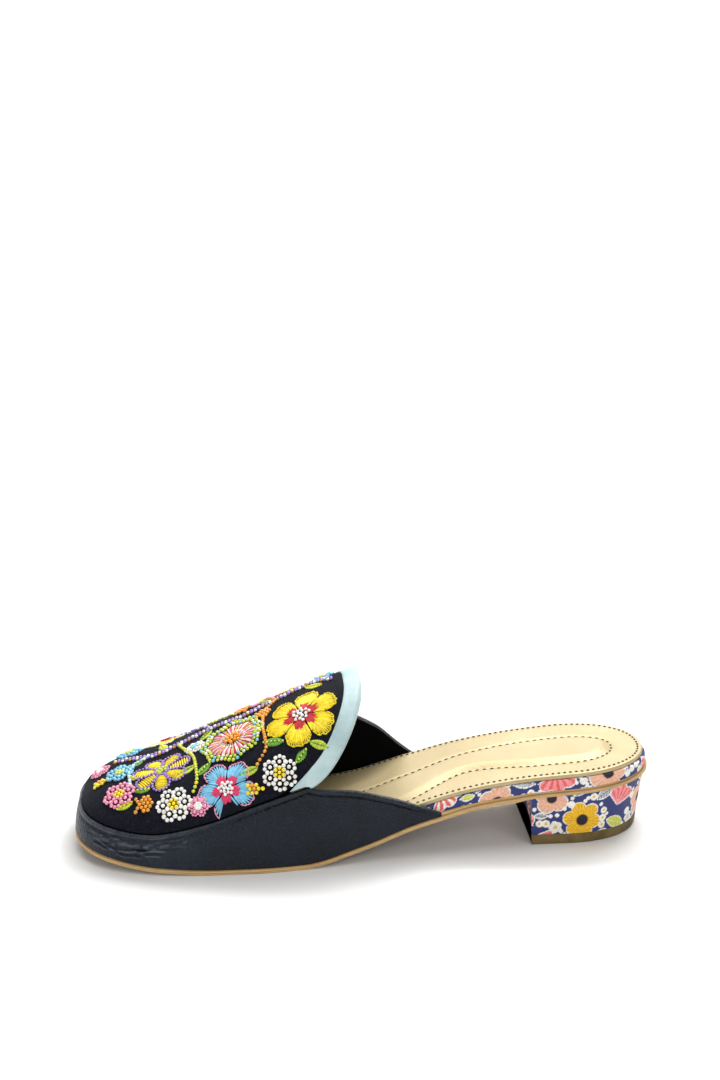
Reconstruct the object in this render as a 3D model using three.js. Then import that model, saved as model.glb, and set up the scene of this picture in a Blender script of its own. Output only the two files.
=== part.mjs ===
// A backless mule for the left foot: an apron front with a rounded tongue and a bound throat,
// a wrapped insole platform with a padded sock, a thin outsole and a low block heel.
// Millimetres, +Z up. The toe points to -X, and the outer side of the foot is towards -Y.
import * as THREE from 'three';

// Driving dimensions
const LENGTH = 245; // insole platform, heel to toe
const GAP = 0.3; // between pieces that meet
const TOE_SHIFT = 1; // toe tip, towards the inner side
const HEEL_STATION = 0.15; // widest place of the heel end, as a share of the length
const HEEL_SQUARENESS = 2.15;
const TOE_SQUARENESS = { outer: 2.9, inner: 2.5 };

const OUTSOLE = { thick: 3, thickHeel: 2.2, reach: 1, reachUnderUpper: 2.6, edgeRound: 0.5, groove: 0.45 };
const PLATFORM = { thickHeel: 4.3, thickToe: 3, round: 0.8, toeTuck: 1.2 };
const SOCK = { thick: 1.6, inset: 0.5, padRise: 1.3, padStep: 2.2 };
const WALL = 2; // upper: leather, backing and lining together
const RIM = { width: 3.4, rise: 1.2 }; // folded edge of the side wall, which is the raised apron seam too
const APRON = { clear: 0.4, thick: 0.7, inset: 0.7 };
const BINDING = { clear: 0.55, thick: 1, width: 5.8, insideWidth: 4, footSlant: 1.25, footTurn: 0.07 };
const HEEL = { front: 0.222, inset: 1.2, taperBack: 2.2, taperSide: 1.8, taperFront: 1, breastHollow: 2.5 };
const LIFT = { thick: 4.6, round: 0.6 };

// Insole platform: half widths, as shares of the length from the heel
const PLAN = [
  { station: 0.15, outer: 29.0, inner: 29.0 },
  { station: 0.28, outer: 29.0, inner: 27.0 },
  { station: 0.40, outer: 30.0, inner: 26.0 },
  { station: 0.50, outer: 33.5, inner: 28.0 },
  { station: 0.60, outer: 38.0, inner: 33.5 },
  { station: 0.70, outer: 40.5, inner: 38.5 },
  { station: 0.76, outer: 40.5, inner: 39.5 },
];
const BALL_STATION = { outer: 0.72, inner: 0.76 };

// Underside of the outsole: heel pitch, arch, flat tread and toe spring
const UNDERSIDE = [
  { station: -0.03, height: 26.0 },
  { station: 0.10, height: 24.2 },
  { station: 0.22, height: 22.2 },
  { station: 0.32, height: 18.8 },
  { station: 0.42, height: 12.8 },
  { station: 0.52, height: 5.0 },
  { station: 0.62, height: 0 },
  { station: 0.76, height: 0 },
  { station: 0.86, height: 0.9 },
  { station: 0.94, height: 2.9 },
  { station: 1.03, height: 6.0 },
];

// Padded middle of the sock: half widths inside its channel, by shares of its own length
const PAD = [
  { station: 0.10, outer: 15.5, inner: 12 },
  { station: 0.16, outer: 15.5, inner: 11.5 },
  { station: 0.31, outer: 10.5, inner: 8.5 },
  { station: 0.44, outer: 22, inner: 3 },
  { station: 0.54, outer: 26, inner: 2 },
  { station: 0.68, outer: 28, inner: 12 },
  { station: 0.76, outer: 28, inner: 20 },
];
const PAD_ENDS = { heel: 0.10, toe: 0.90 };

// Upper: ridge line of the apron, its place across the foot and how full its sections are
const RIDGE = [
  { station: 0.44, height: 74, across: 3, fullness: 2.9 },
  { station: 0.53, height: 67.5, across: 3, fullness: 2.8 },
  { station: 0.62, height: 58.5, across: 3, fullness: 2.7 },
  { station: 0.72, height: 47.5, across: 2.5, fullness: 2.5 },
  { station: 0.80, height: 38, across: 2, fullness: 2.35 },
  { station: 0.87, height: 30, across: 1, fullness: 2.2 },
];
const RIDGE_LEAN = { start: 0.70, end: 0.87, arrive: 0.05 }; // sections past the start lean in

// Apron seam ahead of the throat corner, and top line behind it: height above the outsole
const SEAM = [
  { station: 0.61, outer: 32, inner: 38.5 },
  { station: 0.68, outer: 26.6, inner: 30 },
  { station: 0.78, outer: 18, inner: 19.5 },
  { station: 0.88, outer: 12, inner: 12.5 },
  { station: 1.00, outer: 10, inner: 10 },
];
const TOPLINE = [
  { share: 0.0, outer: 0, inner: 0 },
  { share: 0.18, outer: 7, inner: 10 },
  { share: 0.40, outer: 16, inner: 24 },
  { share: 0.65, outer: 24.5, inner: 34 },
  { share: 1.0, outer: 32, inner: 38.5 },
];
const CORNER_STATION = 0.612; // foot of the tongue
const WALL_END = { outer: 0.38, inner: 0.385 }; // where the top line runs out on the sole
const TONGUE = { tip: 0.515, roundness: 2.05, flat: 0.9 };

const COLOUR = {
  leather: { color: 0x1d2026, roughness: 0.42, metalness: 0 },
  apron: { color: 0x15161f, roughness: 0.9, metalness: 0 },
  binding: { color: 0xc4dde0, roughness: 0.45, metalness: 0 },
  gold: { color: 0xd8bf8b, roughness: 0.35, metalness: 0.35 },
  print: { color: 0x3a4479, roughness: 0.6, metalness: 0 },
  tan: { color: 0xc39a63, roughness: 0.55, metalness: 0 },
  lift: { color: 0x6b5a3a, roughness: 0.7, metalness: 0 },
};

const { PI, sin, cos, asin, acos, abs, min, max } = Math;
const mix = (a, b, t) => a + (b - a) * t;
const clamp01 = (t) => min(1, max(0, t));
const ease = (t) => clamp01(t) ** 2 * (3 - 2 * clamp01(t));
const spread = (from, to, count) =>
  Array.from({ length: count + 1 }, (_, i) => mix(from, to, i / count));

// Smooth curve through one column of a table against another, with no overshoot
function smooth(rows, key, value) {
  const x = rows.map((row) => row[key]);
  const y = rows.map((row) => row[value]);
  const slope = x.slice(1).map((next, i) => (y[i + 1] - y[i]) / (next - x[i]));
  const tangent = y.map((_, i) => {
    const before = slope[max(0, i - 1)];
    const after = slope[min(slope.length - 1, i)];
    return before * after <= 0 ? 0 : (2 * before * after) / (before + after);
  });
  return (at) => {
    const i = min(slope.length - 1, max(0, x.findLastIndex((start) => start <= at)));
    const step = x[i + 1] - x[i];
    const t = clamp01((at - x[i]) / step);
    return (
      (1 + 2 * t) * (1 - t) ** 2 * y[i] +
      t * (1 - t) ** 2 * step * tangent[i] +
      t * t * (3 - 2 * t) * y[i + 1] -
      t * t * (1 - t) * step * tangent[i + 1]
    );
  };
}

const xOf = (station) => LENGTH * (0.5 - station);
const stationAt = (x) => 0.5 - x / LENGTH;
const fullUnderside = smooth(UNDERSIDE, 'station', 'height');
const soleTop = (x) => fullUnderside(stationAt(x)) + OUTSOLE.thick;

// The lower ply ends at the breast of the heel
const outsoleThick = (x) =>
  mix(OUTSOLE.thickHeel, OUTSOLE.thick, ease((stationAt(x) - HEEL.front) / 0.03));
const underside = (x) => soleTop(x) - outsoleThick(x);

// Places round the outline: 0 is the heel end, 1 the toe tip along the outer side, 2 the heel end again
const stationOf = (place) => (1 - cos(PI * place)) / 2;
const placeOf = (station) => acos(1 - 2 * station) / PI;
const SIDES = ['outer', 'inner'];

// Half width with round ends: the heel end and the toe end are parts of superellipses
function roundedWidth(table, heelStation, ballStation, toeStation, toeShift) {
  const columns = Object.fromEntries(SIDES.map((side) => [side, smooth(table, 'station', side)]));
  const arc = (t, power) => max(0, 1 - clamp01(t) ** power) ** (1 / power);
  return (side, station) => {
    const tip = side === 'outer' ? -toeShift : toeShift;
    if (station < heelStation) {
      return columns[side](heelStation) * arc(1 - station / heelStation, HEEL_SQUARENESS);
    }
    const ball = ballStation[side];
    const past = (station - ball) / (toeStation - ball);
    if (past <= 0) return columns[side](station);
    return tip + (columns[side](ball) - tip) * arc(past, TOE_SQUARENESS[side]);
  };
}
const platformWidth = roundedWidth(PLAN, HEEL_STATION, BALL_STATION, 1, TOE_SHIFT);

function outline(place) {
  const turn = ((place % 2) + 2) % 2;
  const station = stationOf(turn);
  const side = turn <= 1 ? 'outer' : 'inner';
  const y = platformWidth(side, station) * (side === 'outer' ? -1 : 1);
  return new THREE.Vector2(xOf(station), y);
}

// Outline moved outwards
function outlineOffset(place, distance) {
  const step = 1e-3;
  const along = outline(place + step).sub(outline(place - step)).normalize();
  return outline(place).add(new THREE.Vector2(along.y, -along.x).multiplyScalar(-distance));
}

const RING = 104; // points round the sole
const ringPlaces = Array.from({ length: RING }, (_, i) => (2 * i) / RING);
const ring = (distance, height) =>
  ringPlaces.map((place) => {
    const reach = typeof distance === 'function' ? distance(place) : distance;
    const p = outlineOffset(place, reach);
    return new THREE.Vector3(p.x, p.y, height(p.x));
  });

// Closed body from rings of equal length: sides between them, and ladder caps across the first and last
function bodyOfRings(rings) {
  const count = rings[0].length;
  const at = (level, i) => level * count + ((i + count) % count);
  const index = [];
  for (let level = 0; level + 1 < rings.length; level++) {
    for (let i = 0; i < count; i++) {
      index.push(at(level, i), at(level + 1, i), at(level, i + 1));
      index.push(at(level, i + 1), at(level + 1, i), at(level + 1, i + 1));
    }
  }
  const last = rings.length - 1;
  for (let i = 0; i < count / 2; i++) {
    const [a, b, c, d] = [i, i + 1, -i, -i - 1];
    for (const [p, q, r] of [[a, b, c], [b, d, c]]) {
      const corners = [p, q, r].map((k) => (k + count) % count);
      if (new Set(corners).size < 3) continue;
      index.push(at(0, p), at(0, q), at(0, r));
      index.push(at(last, p), at(last, r), at(last, q));
    }
  }
  return geometryOf(rings.flat(), index);
}

function geometryOf(points, index) {
  const geometry = new THREE.BufferGeometry().setFromPoints(points);
  geometry.setIndex(index);
  geometry.computeVertexNormals();
  return geometry;
}

// Outsole: two plies with a groove between them, wider where it carries the upper
function outsoleReach(place) {
  const station = stationOf(place);
  const end = WALL_END[place <= 1 ? 'outer' : 'inner'];
  return mix(OUTSOLE.reach, OUTSOLE.reachUnderUpper, ease((station - end + 0.08) / 0.1));
}

function outsole() {
  const edge = [
    { inset: OUTSOLE.edgeRound, rise: 0 },
    { inset: 0, rise: 0.15 },
    { inset: 0, rise: 0.44 },
    { inset: OUTSOLE.groove, rise: 0.5 },
    { inset: 0, rise: 0.56 },
    { inset: 0, rise: 0.9 },
    { inset: OUTSOLE.edgeRound, rise: 1 },
  ];
  const rings = edge.map(({ inset, rise }) =>
    ring(
      (place) => outsoleReach(place) - inset,
      (x) => underside(x) + rise * outsoleThick(x),
    ),
  );
  return bodyOfRings(rings);
}

// Insole platform, wrapped in printed cloth
const platformThick = (x) =>
  mix(PLATFORM.thickHeel, PLATFORM.thickToe, ease((stationAt(x) - 0.3) / 0.35));
const platformTop = (x) => soleTop(x) + GAP + platformThick(x);

// The toe end is tucked in, clear of the upper
const tuck = (place) => PLATFORM.toeTuck * ease((stationOf(place) - 0.6) / 0.25);

function platform() {
  const { round } = PLATFORM;
  const edge = [
    { inset: 0, height: (x) => soleTop(x) + GAP },
    { inset: 0, height: (x) => platformTop(x) - round },
    { inset: round / 2, height: (x) => platformTop(x) - round / 4 },
    { inset: round * 2, height: platformTop },
  ];
  return bodyOfRings(edge.map(({ inset, height }) => ring((place) => -inset - tuck(place), height)));
}

// Sock: a thin sheet with a padded middle inside a stitched channel
const padWidth = roundedWidth(
  PAD,
  PAD_ENDS.heel,
  { outer: 0.76, inner: 0.76 },
  1,
  TOE_SHIFT,
);

function padRing(inset, height) {
  return ringPlaces.map((place) => {
    const side = place <= 1 ? 'outer' : 'inner';
    const share = stationOf(place);
    const station = mix(0.06, PAD_ENDS.toe, share);
    const width = max(0, padWidth(side, share) - inset * sin(PI * share) ** 0.5);
    const x = xOf(station) + inset * (1 - 2 * clamp01((share - 0.02) / 0.96));
    return new THREE.Vector3(x, side === 'outer' ? -width : width, height(x));
  });
}

function sock() {
  const base = (x) => platformTop(x) + GAP;
  const top = (x) => base(x) + SOCK.thick;
  const edge = (place) => -SOCK.inset - PLATFORM.round - tuck(place);
  return bodyOfRings([
    ring(edge, base),
    ring(edge, (x) => base(x) + SOCK.thick * 0.6),
    ring((place) => edge(place) - SOCK.thick * 0.5, top),
    padRing(0, top),
    padRing(SOCK.padStep, (x) => top(x) + SOCK.padRise),
  ]);
}

// Block heel: rings from the top lift up to the underside of the outsole
const heelFrontX = xOf(HEEL.front);
const HEEL_PLACES = 22; // points on each side of the heel

// Heel outline at a share of the way down: the back follows the outsole, the breast is hollow
function heelPoint(side, i, down) {
  const t = i / HEEL_PLACES;
  const breast = 18 / HEEL_PLACES; // share of the points from the back to the front corner
  const flip = side === 'outer' ? -1 : 1;
  const back = xOf(0) - HEEL.inset - HEEL.taperBack * down;
  const front = heelFrontX + HEEL.taperFront * down;
  const half = (x) => {
    const seat = stationAt(x + HEEL.taperBack * down * clamp01((x - front) / (back - front)));
    return platformWidth(side, max(0, seat)) - HEEL.inset - HEEL.taperSide * down;
  };
  if (t <= breast) {
    const x = mix(back, front, (1 - cos((PI * t) / breast / 2)));
    const width = t === 0 ? 0 : max(0, half(x));
    return new THREE.Vector2(x, flip * width);
  }
  const across = 1 - (t - breast) / (1 - breast);
  const hollow = HEEL.breastHollow * (1 - across ** 2);
  return new THREE.Vector2(front + hollow, flip * half(front) * across);
}

function heelRing(down, height) {
  const outer = Array.from({ length: HEEL_PLACES + 1 }, (_, i) => heelPoint('outer', i, down));
  const inner = Array.from({ length: HEEL_PLACES - 1 }, (_, i) =>
    heelPoint('inner', HEEL_PLACES - 1 - i, down),
  );
  return [...outer, ...inner].map((p) => new THREE.Vector3(p.x, p.y, height(p.x)));
}

function heelBlock() {
  const foot = LIFT.thick + GAP;
  const seat = (x) => underside(x) - GAP;
  const levels = [1, 0.75, 0.5, 0.25, 0];
  return bodyOfRings(levels.map((down) => heelRing(down, (x) => mix(seat(x), foot, down))));
}

function topLift() {
  const end = 1 + LIFT.thick / 40; // the taper goes on down through the lift
  return bodyOfRings([
    heelRing(end + LIFT.round / 10, () => 0),
    heelRing(end, () => LIFT.round),
    heelRing(1, () => LIFT.thick),
  ]);
}

// Upper: sections rise from the feather edge of the sole to the ridge of the apron.
// `place` runs along a side from heel to toe, and `across` from -1 (outer edge) to 1 (inner edge).
const ridgeHeight = smooth(RIDGE, 'station', 'height');
const ridgeAcross = smooth(RIDGE, 'station', 'across');
const fullnessAt = smooth(RIDGE, 'station', 'fullness');

function leanStation(place) {
  const { start, end, arrive } = RIDGE_LEAN;
  const from = placeOf(start);
  if (place <= from) return stationOf(place);
  const t = (place - from) / (1 - from);
  const leave = (PI / 2) * sin(PI * from) * (1 - from);
  return start + t * (1 - t) ** 2 * leave + t * t * (3 - 2 * t) * (end - start) - t * t * (1 - t) * arrive;
}

function section(place, across) {
  const turn = across < 0 ? place : 2 - place;
  const edge = outlineOffset(turn, GAP + WALL);
  const station = leanStation(place);
  const base = soleTop(edge.x) + GAP;
  return {
    edge,
    base,
    top: new THREE.Vector2(xOf(station), ridgeAcross(station)),
    rise: ridgeHeight(station) - base,
    fullness: fullnessAt(station),
  };
}

function upperPoint(place, across) {
  const { edge, base, top, rise, fullness } = section(place, across);
  const angle = (1 - abs(across)) * (PI / 2);
  const inwards = 1 - max(0, cos(angle)) ** (2 / fullness);
  const height = base + rise * sin(angle) ** (2 / fullness);
  return new THREE.Vector3(mix(edge.x, top.x, inwards), mix(edge.y, top.y, inwards), height);
}

// Share of the section, from the edge, that reaches a height above the outsole
function shareAtHeight(place, across, height) {
  const { rise, fullness } = section(place, across);
  return (2 / PI) * asin(clamp01(max(0, height) / rise) ** (fullness / 2));
}

const seamHeight = Object.fromEntries(SIDES.map((side) => [side, smooth(SEAM, 'station', side)]));
const toplineHeight = Object.fromEntries(SIDES.map((side) => [side, smooth(TOPLINE, 'share', side)]));
const cornerPlace = placeOf(CORNER_STATION);
const tipPlace = placeOf(TONGUE.tip);

// Top edge of the side wall: the apron seam, and behind the corner the top line
function wallTop(place, side) {
  const station = stationOf(place);
  const across = sideSign(side);
  if (place >= cornerPlace) return shareAtHeight(place, across, seamHeight[side](station));
  const end = WALL_END[side];
  const share = (station - end) / (CORNER_STATION - end);
  return shareAtHeight(place, across, toplineHeight[side](clamp01(share)));
}

const sideSign = (side) => (side === 'outer' ? -1 : 1);
const seamAcross = (place, side) => 1 - wallTop(max(place, cornerPlace), side);

// Round end of the tongue: `turn` runs from 0 at its foot to 1 at its tip, whose middle is straight
function tonguePlace(turn) {
  const angle = (PI / 2) * min(turn, TONGUE.flat);
  return mix(cornerPlace, tipPlace, sin(angle) ** (2 / TONGUE.roundness));
}

function tongueSpan(turn) {
  const angle = (PI / 2) * min(turn, TONGUE.flat);
  const middle = max(0, turn - TONGUE.flat) / (1 - TONGUE.flat);
  return cos(angle) ** (2 / TONGUE.roundness) * (1 - middle);
}

// Length along a section from its edge, measured in short steps
function distanceAlong(place, side, from, to) {
  const spots = spread(from, to, 6).map((share) => upperPoint(place, sideSign(side) * (1 - share)));
  return spots.slice(1).reduce((length, spot, i) => length + spot.distanceTo(spots[i]), 0);
}

// Sheet of points on the upper's surface that shares points where its patches join
class Sheet {
  points = [];
  rises = [];
  feather = [];
  index = [];
  known = new Map();

  add(place, across, rise = 0) {
    const edge = abs(across) > 1 - 1e-9;
    const point = upperPoint(place, across);
    const key = point.toArray().map((c) => c.toFixed(4)).join();
    if (!this.known.has(key)) {
      this.known.set(key, this.points.length);
      this.points.push(point);
      this.rises.push(rise);
      this.feather.push(edge);
    }
    return this.known.get(key);
  }

  // Fills between columns of equal length, which may meet in single points
  fill(columns, flip) {
    for (let i = 0; i + 1 < columns.length; i++) {
      for (let j = 0; j + 1 < columns[i].length; j++) {
        const [a, b] = [columns[i][j], columns[i][j + 1]];
        const [c, d] = [columns[i + 1][j], columns[i + 1][j + 1]];
        for (const face of [[a, c, d], [a, d, b]]) {
          if (new Set(face).size < 3) continue;
          this.index.push(...(flip ? face.reverse() : face));
        }
      }
    }
  }

  // Closed wall: the sheet moved along its normals to two distances, joined round its border
  wall(outside, inside) {
    const normals = geometryOf(this.points, this.index).getAttribute('normal');
    const count = this.points.length;
    const move = (distance, keepRise) =>
      this.points.map((point, i) => {
        const normal = new THREE.Vector3().fromBufferAttribute(normals, i);
        if (this.feather[i]) normal.setZ(0).normalize();
        return point.clone().addScaledVector(normal, distance + (keepRise ? this.rises[i] : 0));
      });
    const index = [];
    const borders = new Map();
    for (let i = 0; i < this.index.length; i += 3) {
      const [a, b, c] = this.index.slice(i, i + 3);
      index.push(a, b, c, count + a, count + c, count + b);
      for (const [from, to] of [[a, b], [b, c], [c, a]]) {
        if (!borders.delete(`${to},${from}`)) borders.set(`${from},${to}`, [from, to]);
      }
    }
    for (const [from, to] of borders.values()) {
      index.push(from, count + from, to, to, count + from, count + to);
    }
    return geometryOf([...move(outside, true), ...move(-inside, false)], index);
  }
}

const WALL_ROWS = 6; // rows of the side wall below its folded edge
const RIM_ROWS = [
  { back: 1, rise: 0 },
  { back: 0.8, rise: 1 },
  { back: 0.25, rise: 1 },
  { back: 0, rise: 0.15 },
];
const TOE_COLUMNS = 16;
const BACK_COLUMNS = 12;
const TONGUE_COLUMNS = 9;
const APRON_ROWS = 8;

// Column of a side wall from the feather edge to its folded top
function wallColumn(sheet, place, side) {
  const top = wallTop(place, side);
  const height = distanceAlong(place, side, 0, top);
  const rimShare = height > 0 ? min(0.4, RIM.width / height) : 0;
  const fade = ease(height / 12);
  const plain = spread(0, top * (1 - rimShare), WALL_ROWS).slice(0, -1);
  const rows = plain.map((share) => ({ share, rise: 0 }));
  for (const { back, rise } of RIM_ROWS) {
    rows.push({ share: top * (1 - rimShare * back), rise: rise * RIM.rise * fade });
  }
  return rows.map(({ share, rise }) => sheet.add(place, sideSign(side) * (1 - share), rise));
}

// Columns from an edge of the apron to the ridge
const apronColumns = (sheet, spots) =>
  spots.map(({ place, across }) => spread(across, 0, APRON_ROWS).map((row) => sheet.add(place, row)));

const tongueEdge = (turn, side) => ({
  place: tonguePlace(turn),
  across: sideSign(side) * seamAcross(cornerPlace, side) * tongueSpan(turn),
});

// Edge of the apron along the seam, a little in from it
function seamSpot(place, side, inset) {
  const length = distanceAlong(place, side, wallTop(place, side), 1);
  return { place, across: sideSign(side) * seamAcross(place, side) * (1 - inset / length) };
}

const seamSpots = (from, side, inset) =>
  spread(from, 1, TOE_COLUMNS).slice(1).map((place) => seamSpot(place, side, inset));

function upper() {
  const sheet = new Sheet();
  for (const side of SIDES) {
    const flip = side === 'outer';
    const toePlaces = spread(cornerPlace, 1, TOE_COLUMNS);
    const backPlaces = spread(placeOf(WALL_END[side]), cornerPlace, BACK_COLUMNS);
    const wallPlaces = [...backPlaces, ...toePlaces.slice(1)];
    sheet.fill(wallPlaces.map((place) => wallColumn(sheet, place, side)), flip);
    const tongue = spread(TONGUE.flat, 0, TONGUE_COLUMNS).map((turn) => tongueEdge(turn, side));
    sheet.fill(apronColumns(sheet, [...tongue, ...seamSpots(cornerPlace, side, 0)]), flip);
  }
  return sheet.wall(0, WALL);
}

// Directions on the upper's surface: towards the toe, across the foot, and out of the surface
function tangents({ place, across }) {
  const step = 1e-3;
  const along = upperPoint(place + step, across).sub(upperPoint(place - step, across));
  const over = upperPoint(place, across + step).sub(upperPoint(place, across - step));
  return {
    along: along.divideScalar(2 * step),
    over: over.divideScalar(2 * step),
    out: over.clone().cross(along).normalize(),
  };
}

// Where a walk over the surface in a direction ends
function walk(spot, direction, distance) {
  const steps = 5;
  let { place, across } = spot;
  for (let i = 0; i < steps; i++) {
    const { along, over } = tangents({ place, across });
    const [a, b, c] = [along.dot(along), along.dot(over), over.dot(over)];
    const [p, q] = [along.dot(direction), over.dot(direction)];
    const scale = distance / steps / (a * c - b * b);
    place += (c * p - b * q) * scale;
    across += (a * q - b * p) * scale;
  }
  return { place, across };
}

// Tongue edge from the outer foot (0) over the tip (1) to the inner foot (2)
const edgeSpot = (run) => tongueEdge(1 - abs(run - 1), run <= 1 ? 'outer' : 'inner');
const onSurface = ({ place, across }) => upperPoint(place, across);

function edgeFrame(run) {
  const step = 0.01;
  const [from, to] = [max(0, run - step), min(2, run + step)].map((r) => onSurface(edgeSpot(r)));
  const { out } = tangents(edgeSpot(run));
  return { out, away: to.sub(from).cross(out).normalize() };
}

// Spot in from the tongue edge: square to it, but along the seam at its foot
function insideEdge(run, distance) {
  const side = run <= 1 ? 'outer' : 'inner';
  const turn = 1 - abs(run - 1);
  const square = walk(edgeSpot(run), edgeFrame(run).away.negate(), distance);
  const forward = (distance * BINDING.footSlant) / (LENGTH * (PI / 2) * sin(PI * cornerPlace));
  const foot = seamSpot(cornerPlace + forward, side, APRON.inset);
  const t = ease(turn / 0.3);
  return { place: mix(foot.place, square.place, t), across: mix(foot.across, square.across, t) };
}

// Apron: the cloth laid on the upper inside its seam and its bound edge
function apron() {
  const sheet = new Sheet();
  const pairs = spread(TONGUE.flat, 0, TONGUE_COLUMNS).map((turn) =>
    [turn, 2 - turn].map((run) => insideEdge(run, BINDING.width + APRON.inset)),
  );
  const places = pairs.map(([outer, inner]) => (outer.place + inner.place) / 2);
  SIDES.forEach((side, k) => {
    const back = pairs.map((pair, i) => ({ place: places[i], across: pair[k].across }));
    const front = seamSpots(places.at(-1), side, APRON.inset);
    sheet.fill(apronColumns(sheet, [...back, ...front]), side === 'outer');
  });
  return sheet.wall(APRON.clear + APRON.thick, -APRON.clear);
}

// Section of the binding: a fold over the edge of the tongue
function bindingSection(run) {
  const { clear, thick, width, insideWidth } = BINDING;
  const edge = onSurface(edgeSpot(run));
  const { out, away } = edgeFrame(run);
  const [outer, inner] = [width, insideWidth].map((distance) => insideEdge(run, distance));
  const from = (spot, lift) => onSurface(spot).addScaledVector(tangents(spot).out, lift);
  const beyond = (reach, lift) => edge.clone().addScaledVector(away, reach).addScaledVector(out, lift);
  return [
    from(outer, clear),
    from(outer, clear + thick * 0.8),
    beyond(0, clear + thick),
    beyond(clear + thick * 0.8, clear * 0.6),
    beyond(clear + thick * 0.8, -WALL - clear * 0.6),
    beyond(0, -WALL - clear - thick),
    from(inner, -WALL - clear - thick * 0.8),
    from(inner, -WALL - clear),
    beyond(clear, -WALL - clear),
    beyond(clear, clear),
  ];
}

const BINDING_END = [
  [0, 1, 2], [0, 2, 9], [9, 2, 3], [9, 3, 4], [9, 4, 8], [8, 4, 5], [8, 5, 6], [8, 6, 7],
];

function binding() {
  const round = spread(0, TONGUE.flat, TONGUE_COLUMNS).slice(1);
  const outer = [BINDING.footTurn, ...round, (1 + TONGUE.flat) / 2];
  const inner = outer.map((turn) => 2 - turn).reverse();
  const sections = [...outer, 1, ...inner].map(bindingSection);
  const count = sections[0].length;
  const index = [];
  for (let i = 0; i + 1 < sections.length; i++) {
    for (let k = 0; k < count; k++) {
      const [a, b] = [i * count + k, i * count + ((k + 1) % count)];
      index.push(a, b, a + count, b, b + count, a + count);
    }
  }
  const last = (sections.length - 1) * count;
  for (const [a, b, c] of BINDING_END) {
    index.push(a, c, b, last + a, last + b, last + c);
  }
  return geometryOf(sections.flat(), index);
}

const named = (name, geometry, look) => {
  const mesh = new THREE.Mesh(geometry, new THREE.MeshStandardMaterial(look));
  mesh.name = name;
  return mesh;
};

const mule = new THREE.Group();
mule.add(
  named('outsole', outsole(), COLOUR.tan),
  named('insole_platform', platform(), COLOUR.print),
  named('sock', sock(), COLOUR.gold),
  named('heel_block', heelBlock(), COLOUR.print),
  named('top_lift', topLift(), COLOUR.lift),
  named('upper', upper(), COLOUR.leather),
  named('apron', apron(), COLOUR.apron),
  named('collar_binding', binding(), COLOUR.binding),
);

// The origin is under the middle of the whole shoe, on the floor
const box = new THREE.Box3().setFromObject(mule);
mule.position.set(-(box.min.x + box.max.x) / 2, -(box.min.y + box.max.y) / 2, -box.min.z);

export default mule;
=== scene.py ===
import math

import bpy
import numpy as np
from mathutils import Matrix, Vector
from mathutils.bvhtree import BVHTree


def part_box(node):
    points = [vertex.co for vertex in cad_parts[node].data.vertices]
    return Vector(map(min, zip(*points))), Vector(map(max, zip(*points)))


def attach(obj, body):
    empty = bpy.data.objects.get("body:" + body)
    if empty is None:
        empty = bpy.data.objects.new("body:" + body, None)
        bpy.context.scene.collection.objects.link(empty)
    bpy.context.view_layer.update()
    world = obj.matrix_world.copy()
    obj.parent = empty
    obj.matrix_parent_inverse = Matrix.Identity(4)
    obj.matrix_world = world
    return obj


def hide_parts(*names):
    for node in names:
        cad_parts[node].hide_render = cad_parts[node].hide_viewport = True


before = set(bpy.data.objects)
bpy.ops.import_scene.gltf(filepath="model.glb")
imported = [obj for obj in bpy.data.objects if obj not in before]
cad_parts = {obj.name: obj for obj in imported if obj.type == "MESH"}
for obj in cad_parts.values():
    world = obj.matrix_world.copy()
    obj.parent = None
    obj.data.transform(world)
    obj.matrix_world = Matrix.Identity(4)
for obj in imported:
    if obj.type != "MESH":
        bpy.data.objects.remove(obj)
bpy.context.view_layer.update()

# Sizes in mm: a station is a share of the length, from the back of the heel to the toe
LENGTH = 245.0
GAP = 0.3
WALL, LINING_DEPTH = 2.0, 2.05
RIM_WIDTH = 3.4
BINDING, BINDING_INSIDE = 5.8, 4.0
FOLD_LIFT, FOLD_THICK, FOLD_OUT = 0.55, 1.0, 1.35
DOME_STATION, DOME_ACROSS, DOME_HALF_LENGTH, DOME_HALF_WIDTH = 0.842, 1.5, 30, 17
CLOTH_INSET, CLOTH_LIFT, SEAM_INSET = 4.4, 1.1, 0.7
OUTSOLE, HEEL_SEAT = 3.0, 2.2
PLATFORM = (4.3, 3.0)
TUCK = 1.2
SOCK, SOCK_INSET = 1.6, 1.3
PAD_RISE, PAD_SLOPE = 1.2, 4.8
CHANNEL_DEPTH, CHANNEL_HALF = 0.45, 0.9
LIFT = 4.6
HEEL_INSET, HEEL_LEVELS = 1.2, 66
HEEL_TAPER_BACK, HEEL_TAPER_SIDE, HEEL_TAPER_FRONT = 2.2, 1.8, 1.0
BREAST_HOLLOW = 2.5
HEEL_STATION, BREAST_STATION = 0.15, 0.222
SEAT_SPAN = (BREAST_STATION, BREAST_STATION + 0.03)
THIN_SPAN, TUCK_SPAN = (0.3, 0.65), (0.6, 0.85)
HEEL_SQUARENESS = 2.15
TOE_SQUARENESS = (2.9, 2.5)
TOE_SHIFT = 1.0
CORNER_STATION = 0.612
WALL_END = (0.38, 0.385)
TONGUE_TIP = 0.515
ROUNDNESS = 2.05
SIDES = OUTER, INNER = 0, 1

# behind the side walls, then under them
OUTSOLE_REACH, PLY_SET_BACK = (1.0, 2.6), (1.15, 0.75)
# station, half width on the outer side, half width on the inner side
PLAN = [(0.15, 29, 29), (0.28, 29, 27), (0.40, 30, 26), (0.50, 33.5, 28), (0.60, 38, 33.5),
        (0.70, 40.5, 38.5), (0.76, 40.5, 39.5)]
BALL = (0.72, 0.76)
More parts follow.
